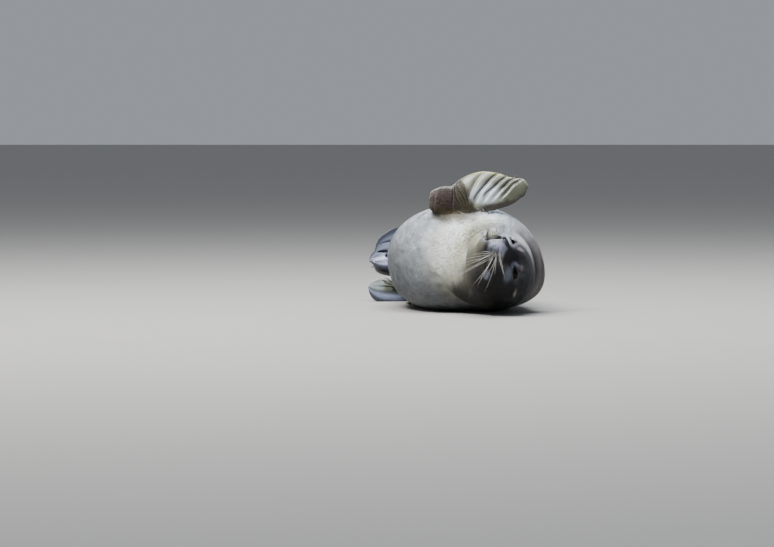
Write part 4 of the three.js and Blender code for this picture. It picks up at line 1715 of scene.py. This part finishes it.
# ---- coat
@dataclass
class Coat:
    """Locks of fur over the skin: thin closed spikes that lie along the body and overlap."""

    skin: bpy.types.Object
    per_piece: int = 48000
    patch: float = 0.003
    seed: int = 7
    density: float = 0.72  # locks for each square mm of body
    face_density: float = 1.5
    width: float = 0.95  # of a body lock's root, mm
    face_width: float = 0.4
    short: float = 1.8  # lengths, mm, between which the fur is the face's or the body's
    long: float = 6.0
    quick_share: float = 0.35

    def scatter(self) -> dict[str, Array]:
        """Picks roots on the skin, at random with a density that rises as the fur shortens.

        A triangle gets locks in proportion to its area times the density, and each root is a
        random mean of its corners.

        Returns:
            Arrays of root positions in metres, normals, lies, tones, lengths and atlas places.
        """
        mesh = self.skin.data
        mesh.calc_loop_triangles()
        corners = np.zeros(len(mesh.loop_triangles) * 3, np.int32)
        mesh.loop_triangles.foreach_get("vertices", corners)
        corners = corners.reshape(-1, 3)
        points = coordinates(mesh)
        normals = np.zeros(len(mesh.vertices) * 3, np.float32)
        mesh.vertex_normals.foreach_get("vector", normals)
        values = {
            "point": points,
            "normal": normals.reshape(-1, 3).astype(float),
            "lie": get_attribute(mesh, "Lie", 3),
            "tone": get_attribute(mesh, "Tone", 4)[:, :3],
            "length": get_attribute(mesh, "Length", 1),
            "bare": get_attribute(mesh, "Bare", 1),
            "atlas": get_attribute(mesh, "Atlas", 2),
        }
        tri = points[corners] * WORKING.metre
        area = 0.5 * np.linalg.norm(np.cross(tri[:, 1] - tri[:, 0], tri[:, 2] - tri[:, 0]), axis=1)
        length = values["length"][corners].mean(axis=1)[:, 0]
        bare = values["bare"][corners].mean(axis=1)[:, 0]
        share = 1 - ramp(self.short, self.long, length)
        density = self.density + (self.face_density - self.density) * share**2
        density = density * (1 - ramp(0.3, 0.75, bare))
        density = density * (0.15 + 0.85 * ramp(0.6, 4.0, tri[..., 2].mean(axis=1)))
        wanted = area * density
        rng = np.random.default_rng(self.seed)
        copies = np.floor(wanted + rng.random(len(wanted))).astype(int)
        pick = np.repeat(np.arange(len(copies)), copies)
        w = rng.dirichlet((1.0, 1.0, 1.0), len(pick))
        at = corners[pick]
        return {k: np.einsum("nc,nck->nk", w, v[at]) for k, v in values.items()}

    def locks(self, roots: dict[str, Array], rng: np.random.Generator) -> tuple[Array, Array]:
        """Vertices and tones of the locks.

        A lock is a spike: two root points sunk in the skin, one over them, and a tip, which
        stands off the skin by a small share of the length.  Locks lean together in clumps, by
        noise, and each has a small turn of its own.

        Args:
            roots: arrays of the roots.
            rng: the seeded source of chance.

        Returns:
            Points in metres and tones, four for each lock.
        """
        count = len(roots["point"])
        normal = unit(roots["normal"])
        lie = unit(roots["lie"] - normal * dot(roots["lie"], normal))
        side = np.cross(normal, lie)
        clump = Noise(31)(roots["point"] * WORKING.metre, 7.0)[:, None] * 2 - 1
        way = unit(lie + side * (0.22 * clump + rng.normal(0, 0.09, (count, 1))))
        side = np.cross(normal, way)
        length = roots["length"] * rng.uniform(0.75, 1.25, (count, 1))
        body = ramp(self.short, self.long, roots["length"])
        width = self.face_width + (self.width - self.face_width) * body
        width = width * rng.uniform(0.75, 1.3, (count, 1))
        lift = length * (0.035 + 0.05 * rng.random((count, 1)) + 0.03 * np.maximum(clump, 0))
        millimetre = 1 / WORKING.metre
        base = roots["point"] - normal * 0.2 * millimetre
        points = np.stack(
            [
                base - side * width * 0.5 * millimetre,
                base + side * width * 0.5 * millimetre,
                base + normal * (0.35 + 0.22 * width) * millimetre,
                roots["point"] + (way * length + normal * lift) * millimetre,
            ],
            axis=1,
        )
        points[..., 2] = np.maximum(points[..., 2], 0.15 * millimetre)
        tone = roots["tone"] * (1 + rng.normal(0, 0.05, (count, 1)) + 0.05 * clump)
        steps = np.array([0.86, 0.86, 0.94, 1.1])
        tones = np.clip(tone[:, None] * steps[None, :, None], 0.003, 0.95)
        return points, tones

    def build(self) -> None:
        """Builds the coat in pieces from the face backwards, each under the triangle limit."""
        rng = np.random.default_rng(self.seed + 1)
        roots = self.scatter()
        order = np.argsort(roots["point"][:, 1], kind="stable")
        chunks = np.array_split(order, max(1, math.ceil(len(order) / self.per_piece)))
        spike = np.array([[0, 1, 2], [0, 2, 3], [1, 3, 2], [0, 3, 1]])
        local = np.array([[0.2, 0.0], [0.8, 0.0], [0.5, 0.3], [0.5, 1.0]])
        finish = LockFinish().material()
        for index, chunk in enumerate(chunks):
            part = {k: v[chunk] for k, v in roots.items()}
            points, tones = self.locks(part, rng)
            count = len(chunk)
            faces = (np.arange(count)[:, None, None] * 4 + spike[None]).reshape(-1, 3)
            places = part["atlas"][:, None] + (local[None] - 0.5) * self.patch
            corner_places = places.reshape(-1, 2)[faces.ravel()].reshape(-1, 3, 2)
            made = mesh_object(
                f"coat_{index + 1}", points.reshape(-1, 3), [Faces(faces, corner_places)], "OFBake"
            )
            set_attribute(made.data, "Tone", colours(tones.reshape(-1, 3)))
            made.data.materials.append(finish)
            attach(made, "root")
            LOG.info("%s: %d locks", made.name, count)


# ---- tubes
def tube(
    path: Array, radii: Array, count: int, flat: float = 1.0, up: Array | None = None
) -> Array:
    """Rings round a path: the middle plus the radius times cosine and sine of the turn.

    Args:
        path: points of the middle line, one for each ring.
        radii: radius at each ring.
        count: vertices in a ring.
        flat: thickness across `up` as a share of the radius.
        up: the direction that the rings' second axis leans to.

    Returns:
        A grid of points.
    """
    run = unit(np.gradient(path, axis=0))
    hint = np.array([0.13, 0.22, 0.97]) if up is None else up
    first = unit(np.cross(hint, run))
    second = np.cross(run, first)
    turn = np.arange(count) / count * TAU
    ring = first[:, None] * np.cos(turn)[None, :, None]
    ring = ring + second[:, None] * (np.sin(turn) * flat)[None, :, None]
    return path[:, None] + ring * radii[:, None, None]


def joined(name: str, grids: list[Array]) -> bpy.types.Object:
    """One object from several closed tubes.

    Args:
        name: the object's name.
        grids: the tubes' rings, as grids of working points.

    Returns:
        The object.
    """
    points, groups, base = [], [], 0
    for grid in grids:
        rings, count = grid.shape[:2]
        points.append(with_poles(grid))
        groups.append([Faces(f.corners + base, f.places) for f in tube_faces(rings, count)])
        base += rings * count + 2
    merged = [
        Faces(np.concatenate([f.corners for f in kind]), np.concatenate([f.places for f in kind]))
        for kind in zip(*groups)
    ]
    return mesh_object(name, WORKING.to_frame(np.concatenate(points)), merged)


def loop_faces(rings: int, count: int) -> Faces:
    """Quads of a tube whose last ring joins the first.

    Args:
        rings: number of rings.
        count: vertices in a ring.

    Returns:
        The quads.
    """
    i, j = (a.ravel() for a in np.meshgrid(np.arange(rings), np.arange(count), indexing="ij"))
    k, n = (j + 1) % count, (i + 1) % rings
    corners = (i * count + j, i * count + k, n * count + k, n * count + j)
    return Faces(np.stack(corners, axis=1))


# ---- eyes
@dataclass
class Eyes:
    """Both eyeballs and the wet dark rims of their lids."""

    head: Head
    rim: float = 1.15
    bulge: float = 0.8

    def place(self, h: Array, sign: int, outward: int) -> Array:
        """Left-eye grid on a side, as working points, turned round unless that is `outward`."""
        points = self.head.to_working(h * (1, 1, sign))
        return points if sign == outward else points[:, ::-1]

    def ball(self, sign: int) -> Array:
        """An eyeball: a ball whose front swells by a bell curve, as the cornea does.

        Args:
            sign: 1 for the left and -1 for the right.

        Returns:
            A grid of working points.
        """
        eye = self.head.eye
        slit, across, look = eye.axes()
        lean = np.linspace(0.02, math.pi - 0.02, 48)[:, None]
        turn = np.arange(64)[None] / 64 * TAU
        radius = eye.radius + self.bulge * bell(lean, 0.55)
        x, y = radius * np.sin(lean) * np.cos(turn), radius * np.sin(lean) * np.sin(turn)
        z = radius * np.cos(lean) * np.ones_like(turn)
        local = x[..., None] * slit + y[..., None] * across + z[..., None] * look
        return self.place(local + np.array(eye.centre), sign, -1)

    def lid(self, sign: int) -> Array:
        """A lid's rim: a thin ring round the almond outline, closed on itself.

        Args:
            sign: 1 for the left and -1 for the right.

        Returns:
            A grid of working points.
        """
        eye = self.head.eye
        turn = np.arange(96) / 96 * TAU
        middle = eye.outline(turn, eye.radius + 0.9, 0.45)
        run = unit(np.roll(middle, -1, axis=0) - np.roll(middle, 1, axis=0))
        out = unit(middle - np.array(eye.centre))
        wide = np.cross(out, run)
        round_turn = np.arange(12) / 12 * TAU
        ring = wide[:, None] * np.cos(round_turn)[None, :, None]
        ring = ring + out[:, None] * np.sin(round_turn)[None, :, None]
        return self.place(middle[:, None] + ring * self.rim, sign, 1)

    def build(self) -> None:
        """Builds eyeballs and rims and lets them stand for the eye nodes."""
        glass, rim = EyeFinish().material(), HideFinish("lid", (26, 25, 28), 0.28).material()
        for side, sign in ((Side.LEFT, 1), (Side.RIGHT, -1)):
            ball = joined(f"eyeball_{side.value}", [self.ball(sign)])
            ball.data.materials.append(glass)
            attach(ball, "root")
            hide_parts(f"eye_{side.value}")
            grid = self.lid(sign)
            points = WORKING.to_frame(grid.reshape(-1, 3))
            lid = mesh_object(f"lid_{side.value}", points, [loop_faces(*grid.shape[:2])])
            lid.data.materials.append(rim)
            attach(lid, "root")
            LOG.info("%s eye at %s", side.value, points.mean(axis=0).round(3))


# ---- claws
@dataclass
class Claws:
    """Five hooked claws on each flipper, their roots sunk in the far face of its digits."""

    blade: Blade
    length: float = 13.0
    root: float = 1.9
    tip: float = 0.35
    hook: float = 2.2
    sunk: float = 3.0
    floor: float = 0.5

    def claw(self, t: float, c: float) -> Array:
        """One claw: a tube that narrows, and bends down by the square of its length.

        Args:
            t: share of the flipper's length at the root.
            c: edge share at the root.

        Returns:
            A grid of working points.
        """
        blade = self.blade
        at = np.array([t])
        _, run, side, face = blade.section(at)
        turn = np.array([math.acos(c) * blade.claw_face])
        along, sideways, out = blade.claw_way
        lift = face[0] * blade.claw_face
        way = unit(run[0] * along + side[0] * sideways + lift * out)
        base = blade.point(at, turn, fine=False)[0] - way * self.sunk
        over = unit(lift - way * (lift @ way))
        k = np.linspace(0, 1, 12)
        path = base + way * (self.length * k[:, None]) - over * (self.hook * k[:, None] ** 2)
        radii = self.root + (self.tip - self.root) * k**1.3
        grid = tube(path, radii, 12, 0.8, np.tile(over, (12, 1)))
        grid[..., 2] = np.maximum(grid[..., 2], self.floor)
        return grid

    def build(self) -> None:
        """Builds a flipper's claws as one piece that stands for their nodes."""
        grids = [self.claw(t, c) for t, c in self.blade.claw_places]
        made = joined("claws_" + self.blade.name, grids)
        made.data.materials.append(HornFinish().material())
        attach(made, "root")
        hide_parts(*[f"claw_{self.blade.name}_{k}" for k in range(1, 6)])
        LOG.info("%s: %d claws", made.name, len(grids))


# ---- whiskers
@dataclass
class Whiskers:
    """Whiskers of the lip pads and brows: thin tapered tubes with a beaded outline."""

    body: Body
    rows: int = 5
    columns: int = 5
    root: float = 0.27
    tip: float = 0.06
    longest: float = 84.0
    shortest: float = 16.0
    brow: int = 4
    seed: int = 21

    def cast(self, start: Array, way: Array) -> Array:
        """Points where lines from inside the head leave its field, found by halving.

        Args:
            start: head points inside.
            way: unit vectors.

        Returns:
            A point for each line.
        """
        low, high = np.zeros(len(start)), np.full(len(start), 40.0)
        for _ in range(24):
            middle = (low + high) / 2
            inside = self.body.head.field(start + way * middle[:, None]) < 0
            low, high = np.where(inside, middle, low), np.where(inside, high, middle)
        return start + way * low[:, None]

    def hair(
        self, root: Array, way: Array, bend: Array, length: float, thick: float = 1.0
    ) -> Array:
        """One whisker: root + way t L + bend t^2 L, its radius shrinking and beaded.

        Args:
            root: head point where it leaves the skin.
            way: unit vector at the root.
            bend: how far the tip is off the straight, as a share of the length.
            length: L, in mm.
            thick: factor on the radius.

        Returns:
            A grid of working points.
        """
        t = np.linspace(-0.03, 1, 15)[:, None]
        path = self.body.head.to_working(root + (way * t + bend * t * np.abs(t)) * length)
        radii = self.root + (self.tip - self.root) * np.clip(t[:, 0], 0, 1)
        return tube(path, radii * thick * (1 + 0.1 * np.sin(t[:, 0] * 40)), 5)

    def pad(self, sign: int, rng: np.random.Generator) -> list[Array]:
        """The whiskers of one lip pad.

        The rows fan out from straight to the side, at the nose, to straight down, at the mouth;
        the back ones are the longest, and all bend backwards.

        Args:
            sign: 1 for the left and -1 for the right.
            rng: the seeded source of chance.

        Returns:
            A grid for each whisker.
        """
        grids = []
        side = np.array([1.0, 1.0, sign])
        centre = np.array(WHISKER_PAD.centre)
        for row in range(self.rows):
            for column in range(self.columns - (row in (0, self.rows - 1))):
                rise = math.radians(22 - 16 * row + rng.normal(0, 2))
                swing = math.radians(30 + 15 * column + rng.normal(0, 2))
                level = math.cos(rise)
                way = (level * math.cos(swing), math.sin(rise), level * math.sin(swing))
                way = np.array(way)
                root = self.cast(centre[None], way[None])[0]
                share = column / (self.columns - 1) * (1 - 0.4 * abs(row - 3) / 3)
                length = self.shortest + (self.longest - self.shortest) * share
                length = length * rng.uniform(0.8, 1.08)
                fan = math.radians((98 if sign > 0 else 112) - 21 * row + rng.normal(0, 7))
                ahead = 0.24 - 0.1 * column + rng.normal(0, 0.05)
                out = unit(np.array([ahead, -math.cos(fan), math.sin(fan)]))
                bend = np.array([-0.16, -0.10, -0.04]) + rng.normal(0, 0.04, 3)
                grids.append(self.hair(root * side, out * side, bend * side, length))
        return grids

    def brows(self, sign: int, rng: np.random.Generator) -> list[Array]:
        """The few fine whiskers over one eye.

        Args:
            sign: 1 for the left and -1 for the right.
            rng: the seeded source of chance.

        Returns:
            A grid for each whisker.
        """
        grids = []
        side = np.array([1.0, 1.0, sign])
        for k in range(self.brow):
            start = np.array([-62.0 + 2 * k, 26.0, 18.0 + 2 * (k % 2)])
            way = unit(np.array([0.25, 1.0, 0.15]))
            root = self.cast(start[None], way[None])[0]
            out = unit(np.array([-0.3, 0.75, 0.3]) + rng.normal(0, 0.12, 3))
            bend = np.array([-0.5, -0.1, 0.1])
            grids.append(self.hair(root * side, out * side, bend * side, rng.uniform(9, 17), 0.55))
        return grids

    def build(self) -> None:
        """Builds the whiskers of each side as one piece."""
        finish = WhiskerFinish().material()
        for side, sign in ((Side.LEFT, 1), (Side.RIGHT, -1)):
            rng = np.random.default_rng(self.seed)
            grids = self.pad(sign, rng) + self.brows(sign, rng)
            piece = joined(f"whiskers_{side.value}", grids)
            piece.data.materials.append(finish)
            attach(piece, "root")
            LOG.info("%s: %d whiskers", piece.name, len(grids))


# ---- shader tools
class Value:
    """A shader socket that adds Math nodes when it is used in an expression."""

    def __init__(self, graph: "Graph", socket: bpy.types.NodeSocket) -> None:
        """Keeps the graph that new nodes go to and the socket."""
        self.graph = graph
        self.socket = socket

    def math(self, operation: str, *others: "Value | float") -> "Value":
        """This value and others through one Math node."""
        return self.graph.node("ShaderNodeMath", {"operation": operation}, self, *others)

    def __add__(self, other: "Value | float") -> "Value":
        """Sum."""
        return self.math("ADD", other)

    def __mul__(self, other: "Value | float") -> "Value":
        """Product."""
        return self.math("MULTIPLY", other)

    def __sub__(self, other: "Value | float") -> "Value":
        """Difference."""
        return self.math("SUBTRACT", other)

    def __rsub__(self, other: float) -> "Value":
        """A number less this value."""
        return self.graph.node("ShaderNodeMath", {"operation": "SUBTRACT"}, other, self)

    __radd__ = __add__
    __rmul__ = __mul__

    def clamp(self) -> "Value":
        """Held to 0..1."""
        return self.graph.node("ShaderNodeClamp", {}, self, 0.0, 1.0)

    def between(self, low: float, high: float) -> "Value":
        """Smooth step from low to high."""
        made = {"interpolation_type": "SMOOTHSTEP"}
        return self.graph.node("ShaderNodeMapRange", made, self, low, high, 0.0, 1.0)


class Graph:
    """A material's node tree, with its main shader."""

    def __init__(self, name: str) -> None:
        """Makes a new material that holds a Principled shader and its output.

        Args:
            name: the material's name.
        """
        self.material = bpy.data.materials.new(name)
        self.material.use_nodes = True
        self.tree = self.material.node_tree
        self.tree.nodes.clear()
        self.shader = self.tree.nodes.new("ShaderNodeBsdfPrincipled")
        output = self.tree.nodes.new("ShaderNodeOutputMaterial")
        self.tree.links.new(self.shader.outputs[0], output.inputs[0])

    def node(
        self,
        kind: str,
        settings: dict,
        *inputs: "Value | float | tuple | None",
        output: int | str = 0,
    ) -> Value:
        """Adds a node, applies its settings and fills its sockets in order.

        Args:
            kind: the node's type.
            settings: properties to set before the sockets.
            inputs: values or links for the first sockets; None leaves one alone.
            output: which output to return.

        Returns:
            The chosen output as a value.
        """
        made = self.tree.nodes.new(kind)
        for key, value in settings.items():
            setattr(made, key, value)
        for socket, value in zip(made.inputs, inputs):
            self.fill(socket, value)
        return Value(self, made.outputs[output])

    def fill(self, socket: bpy.types.NodeSocket, value: "Value | float | tuple | None") -> None:
        """Links a value to a socket, or sets the socket's own number or colour.

        Args:
            socket: the input.
            value: a value, a number or a colour; None leaves the socket alone.
        """
        if isinstance(value, Value):
            self.tree.links.new(value.socket, socket)
        elif value is not None:
            socket.default_value = value

    def set(self, **sockets: "Value | float | tuple") -> None:
        """Fills sockets of the main shader; underscores in a name stand for spaces."""
        for name, value in sockets.items():
            self.fill(self.shader.inputs[name.replace("_", " ")], value)

    def attribute(self, name: str, output: str = "Color") -> Value:
        """A vertex attribute's colour, vector or number."""
        return self.node("ShaderNodeAttribute", {"attribute_name": name}, output=output)

    def place(self) -> Value:
        """Object coordinates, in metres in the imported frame."""
        return self.node("ShaderNodeTexCoord", {}, output="Object")

    def stretched(self, source: Value, scale: tuple) -> Value:
        """Coordinates multiplied by a scale for each axis."""
        return self.node("ShaderNodeMapping", {}, source, None, None, scale)

    def noise(self, at: Value, scale: float, detail: float = 3.0, rough: float = 0.55) -> Value:
        """Noise from 0 to 1 at some coordinates, with finer layers by detail and roughness."""
        return self.node("ShaderNodeTexNoise", {}, at, None, scale, detail, rough)

    def blend(
        self, share: "Value | float", a: "Value | tuple", b: "Value | tuple", kind: str = "MIX"
    ) -> Value:
        """Two colours mixed.

        Args:
            share: how much of the second one there is.
            a: the first colour.
            b: the second colour.
            kind: the way of mixing.

        Returns:
            The mixed colour.
        """
        made = {"data_type": "RGBA", "blend_type": kind}
        unused = (None,) * 5  # sockets for numbers and vectors
        return self.node("ShaderNodeMix", made, share, *unused, a, b, output=2)

    def gray(self, share: Value) -> Value:
        """A number as a gray colour."""
        return self.node("ShaderNodeCombineColor", {}, share, share, share)

    def bump(self, height: Value, distance: float) -> Value:
        """Normals bent by a height, whose 1 stands out by a distance in metres."""
        return self.node("ShaderNodeBump", {}, 1.0, distance, None, height)


# ---- finishes
@dataclass(frozen=True)
class CoatFinish:
    """The skin: wet short fur in strokes along its lie, and bare hide where there is none."""

    stroke: float = 0.0007
    run: float = 0.007
    clump: float = 0.003
    roughness: float = 0.55
    wet: float = 0.30

    def material(self) -> bpy.types.Material:
        """Builds the material.

        Returns:
            Tones times a streaked noise; bump from fine strokes and wider locks, which stretch
            along the lie, and from fine wrinkles where the skin is bare.
        """
        g = Graph("skin")
        fur = g.node("ShaderNodeUVMap", {"uv_map": "Fur"})
        bare = g.attribute("Bare", "Fac")
        fine = g.noise(g.stretched(fur, (1 / self.stroke, 1 / self.run, 1)), 1.0, 2.0)
        lock = g.noise(g.stretched(fur, (1 / self.clump, 0.25 / self.clump, 1)), 1.0, 3.0)
        wrinkle = g.noise(g.place(), 420.0, 4.0, 0.6)
        shade = fine * 0.26 + lock * 0.26 + 0.74
        g.set(
            Base_Color=g.blend(1.0, g.attribute("Tone"), g.gray(shade), "MULTIPLY"),
            Roughness=self.roughness - bare * self.wet + (lock - 0.5) * 0.25,
        )
        furred = 1.0 - bare
        height = fine * 0.0003 * furred + lock * 0.0006 * furred + wrinkle * 0.0004 * bare
        g.set(Normal=g.bump(height, 1.0), Coat_Weight=bare * 0.55)
        g.set(Specular_IOR_Level=0.25, Coat_Roughness=0.2)
        return g.material


@dataclass(frozen=True)
class LockFinish:
    """Locks: the skin's tones, with a silky gloss."""

    roughness: float = 0.48

    def material(self) -> bpy.types.Material:
        """Builds the material.

        Returns:
            Tones times a soft noise, and roughness from the same noise.
        """
        g = Graph("lock")
        speck = g.noise(g.place(), 900.0, 2.0)
        g.set(
            Base_Color=g.blend(1.0, g.attribute("Tone"), g.gray(speck * 0.3 + 0.85), "MULTIPLY"),
            Roughness=self.roughness + (speck - 0.5) * 0.2,
        )
        g.set(Specular_IOR_Level=0.3)
        return g.material


@dataclass(frozen=True)
class HideFinish:
    """Bare wet hide, as on lids."""

    name: str
    colour: tuple
    roughness: float

    def material(self) -> bpy.types.Material:
        """Builds the material.

        Returns:
            The colour mottled by noise, over fine pebbled bump.
        """
        g = Graph(self.name)
        at = g.place()
        mottle = g.noise(at, 300.0, 4.0)
        g.set(
            Base_Color=g.blend(mottle, paint(self.colour, 0.6), paint(self.colour, 1.5)),
            Roughness=self.roughness + (mottle - 0.5) * 0.2,
            Normal=g.bump(g.noise(at, 1400.0, 2.0), 0.0002),
        )
        g.set(Coat_Weight=0.3, Coat_Roughness=0.1)
        return g.material


@dataclass(frozen=True)
class EyeFinish:
    """A black wet eye with a faint brown iris."""

    pupil: tuple = (4, 4, 6)
    iris: tuple = (16, 12, 11)

    def material(self) -> bpy.types.Material:
        """Builds the material.

        Returns:
            Near black, browner in patches, under a clear wet coat.
        """
        g = Graph("eye")
        cloud = g.noise(g.place(), 160.0, 3.0)
        share = cloud.between(0.45, 0.75)
        g.set(
            Base_Color=g.blend(share, paint(self.pupil), paint(self.iris)),
            Roughness=cloud * 0.06 + 0.04,
        )
        g.set(Coat_Weight=0.03, Coat_Roughness=0.05, Specular_IOR_Level=0.06)
        return g.material


@dataclass(frozen=True)
class HornFinish:
    """Dark horn with lengthwise streaks, paler to the root."""

    root: tuple = (92, 80, 66)
    tip: tuple = (30, 26, 24)

    def material(self) -> bpy.types.Material:
        """Builds the material.

        Returns:
            Root to tip colour by the texture's row, streaked by noise.
        """
        g = Graph("claw")
        uv = g.node("ShaderNodeUVMap", {"uv_map": "Fur"})
        row = g.node("ShaderNodeSeparateXYZ", {}, uv, output=1)
        streak = g.noise(g.stretched(uv, (30.0, 2.0, 1.0)), 1.0, 3.0)
        share = (row * 1.3 + (streak - 0.5) * 0.5).clamp()
        g.set(
            Base_Color=g.blend(share, paint(self.root), paint(self.tip)),
            Roughness=streak * 0.2 + 0.28,
            Normal=g.bump(streak, 0.0002),
        )
        return g.material


@dataclass(frozen=True)
class WhiskerFinish:
    """Pale horn, darker at the root."""

    root: tuple = (156, 150, 140)
    tip: tuple = (226, 223, 212)

    def material(self) -> bpy.types.Material:
        """Builds the material.

        Returns:
            Root to tip colour by the texture's row, with a fine mottle.
        """
        g = Graph("whisker")
        uv = g.node("ShaderNodeUVMap", {"uv_map": "Fur"})
        row = g.node("ShaderNodeSeparateXYZ", {}, uv, output=1)
        speck = g.noise(g.place(), 700.0, 2.0)
        share = (row.between(0.0, 0.35) + (speck - 0.5) * 0.2).clamp()
        g.set(
            Base_Color=g.blend(share, paint(self.root), paint(self.tip)),
            Roughness=speck * 0.15 + 0.3,
        )
        return g.material


@dataclass(frozen=True)
class FloorFinish:
    """A plain pale floor."""

    colour: tuple = (164, 161, 156)

    def material(self) -> bpy.types.Material:
        """Builds the material.

        Returns:
            One pale colour, faintly uneven.
        """
        g = Graph("floor")
        cloud = g.noise(g.place(), 3.0, 3.0)
        g.set(
            Base_Color=g.blend(cloud, paint(self.colour, 0.94), paint(self.colour)),
            Roughness=cloud * 0.1 + 0.7,
        )
        return g.material


# ---- studio
@dataclass(frozen=True)
class Light:
    """A soft square lamp: place and aim in metres, width, power and colour."""

    name: str
    place: tuple
    aim: tuple
    width: float
    power: float
    colour: tuple


@dataclass
class Studio:
    """Camera, soft lamps, sky and floor."""

    place: tuple = (-147.33, -6990.12, 378.93)  # camera, working mm
    fall: float = 2.5  # degrees that it looks down
    lens: float = 179.0
    sensor: float = 36.0
    sky: tuple = (0.80, 0.86, 0.95)
    sky_strength: float = 0.4
    lights: tuple[Light, ...] = (
        Light("key", (-1.3, -1.2, 2.9), (0, -0.1, 0.12), 1.5, 190.0, (0.99, 0.99, 0.985)),
        Light("top", (0.2, 0.1, 3.1), (0, 0, 0.15), 1.8, 150.0, (0.90, 0.95, 1.0)),
    )

    def camera(self) -> None:
        """Makes the camera and gives it to the scene."""
        lens = bpy.data.cameras.new("camera")
        lens.lens, lens.sensor_width = self.lens, self.sensor
        lens.clip_start, lens.clip_end = 0.1, 100.0
        made = bpy.data.objects.new("camera", lens)
        made.location = WORKING.to_frame(np.array(self.place))
        made.rotation_euler = (math.radians(90 - self.fall), 0, 0)
        bpy.context.scene.collection.objects.link(made)
        bpy.context.scene.camera = made

    def lamps(self) -> None:
        """Makes the lamps, each turned towards its aim, and the sky."""
        for light in self.lights:
            lamp = bpy.data.lights.new(light.name, "AREA")
            lamp.energy, lamp.size, lamp.color = light.power, light.width, light.colour
            made = bpy.data.objects.new(light.name, lamp)
            made.location = light.place
            aim = Vector(light.aim) - Vector(light.place)
            made.rotation_euler = aim.to_track_quat("-Z", "Y").to_euler()
            bpy.context.scene.collection.objects.link(made)
        world = bpy.data.worlds.new("sky")
        world.use_nodes = True
        shade = world.node_tree.nodes["Background"]
        shade.inputs[0].default_value = self.sky + (1.0,)
        shade.inputs[1].default_value = self.sky_strength
        bpy.context.scene.world = world

    def floor(self) -> None:
        """Makes the floor, a wide flat square."""
        reach = 30.0
        corners = np.array([[-1, -1, 0], [1, -1, 0], [1, 1, 0], [-1, 1, 0]], float) * reach
        made = mesh_object("floor", corners, [Faces(np.array([[0, 1, 2, 3]]))])
        made.data.materials.append(FloorFinish().material())

    def build(self) -> None:
        """Makes camera, lamps, sky and floor."""
        self.camera()
        self.lamps()
        self.floor()


# ---- assembly
def main() -> None:
    """Builds every piece in order."""
    Studio().build()
    body = Body()
    skin = Skin(body, FLIPPERS).build()
    Coat(skin).build()
    Eyes(body.head).build()
    for blade in FLIPPERS:
        Claws(blade).build()
    Whiskers(body).build()
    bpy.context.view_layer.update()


if __name__ == "__main__":
    main()
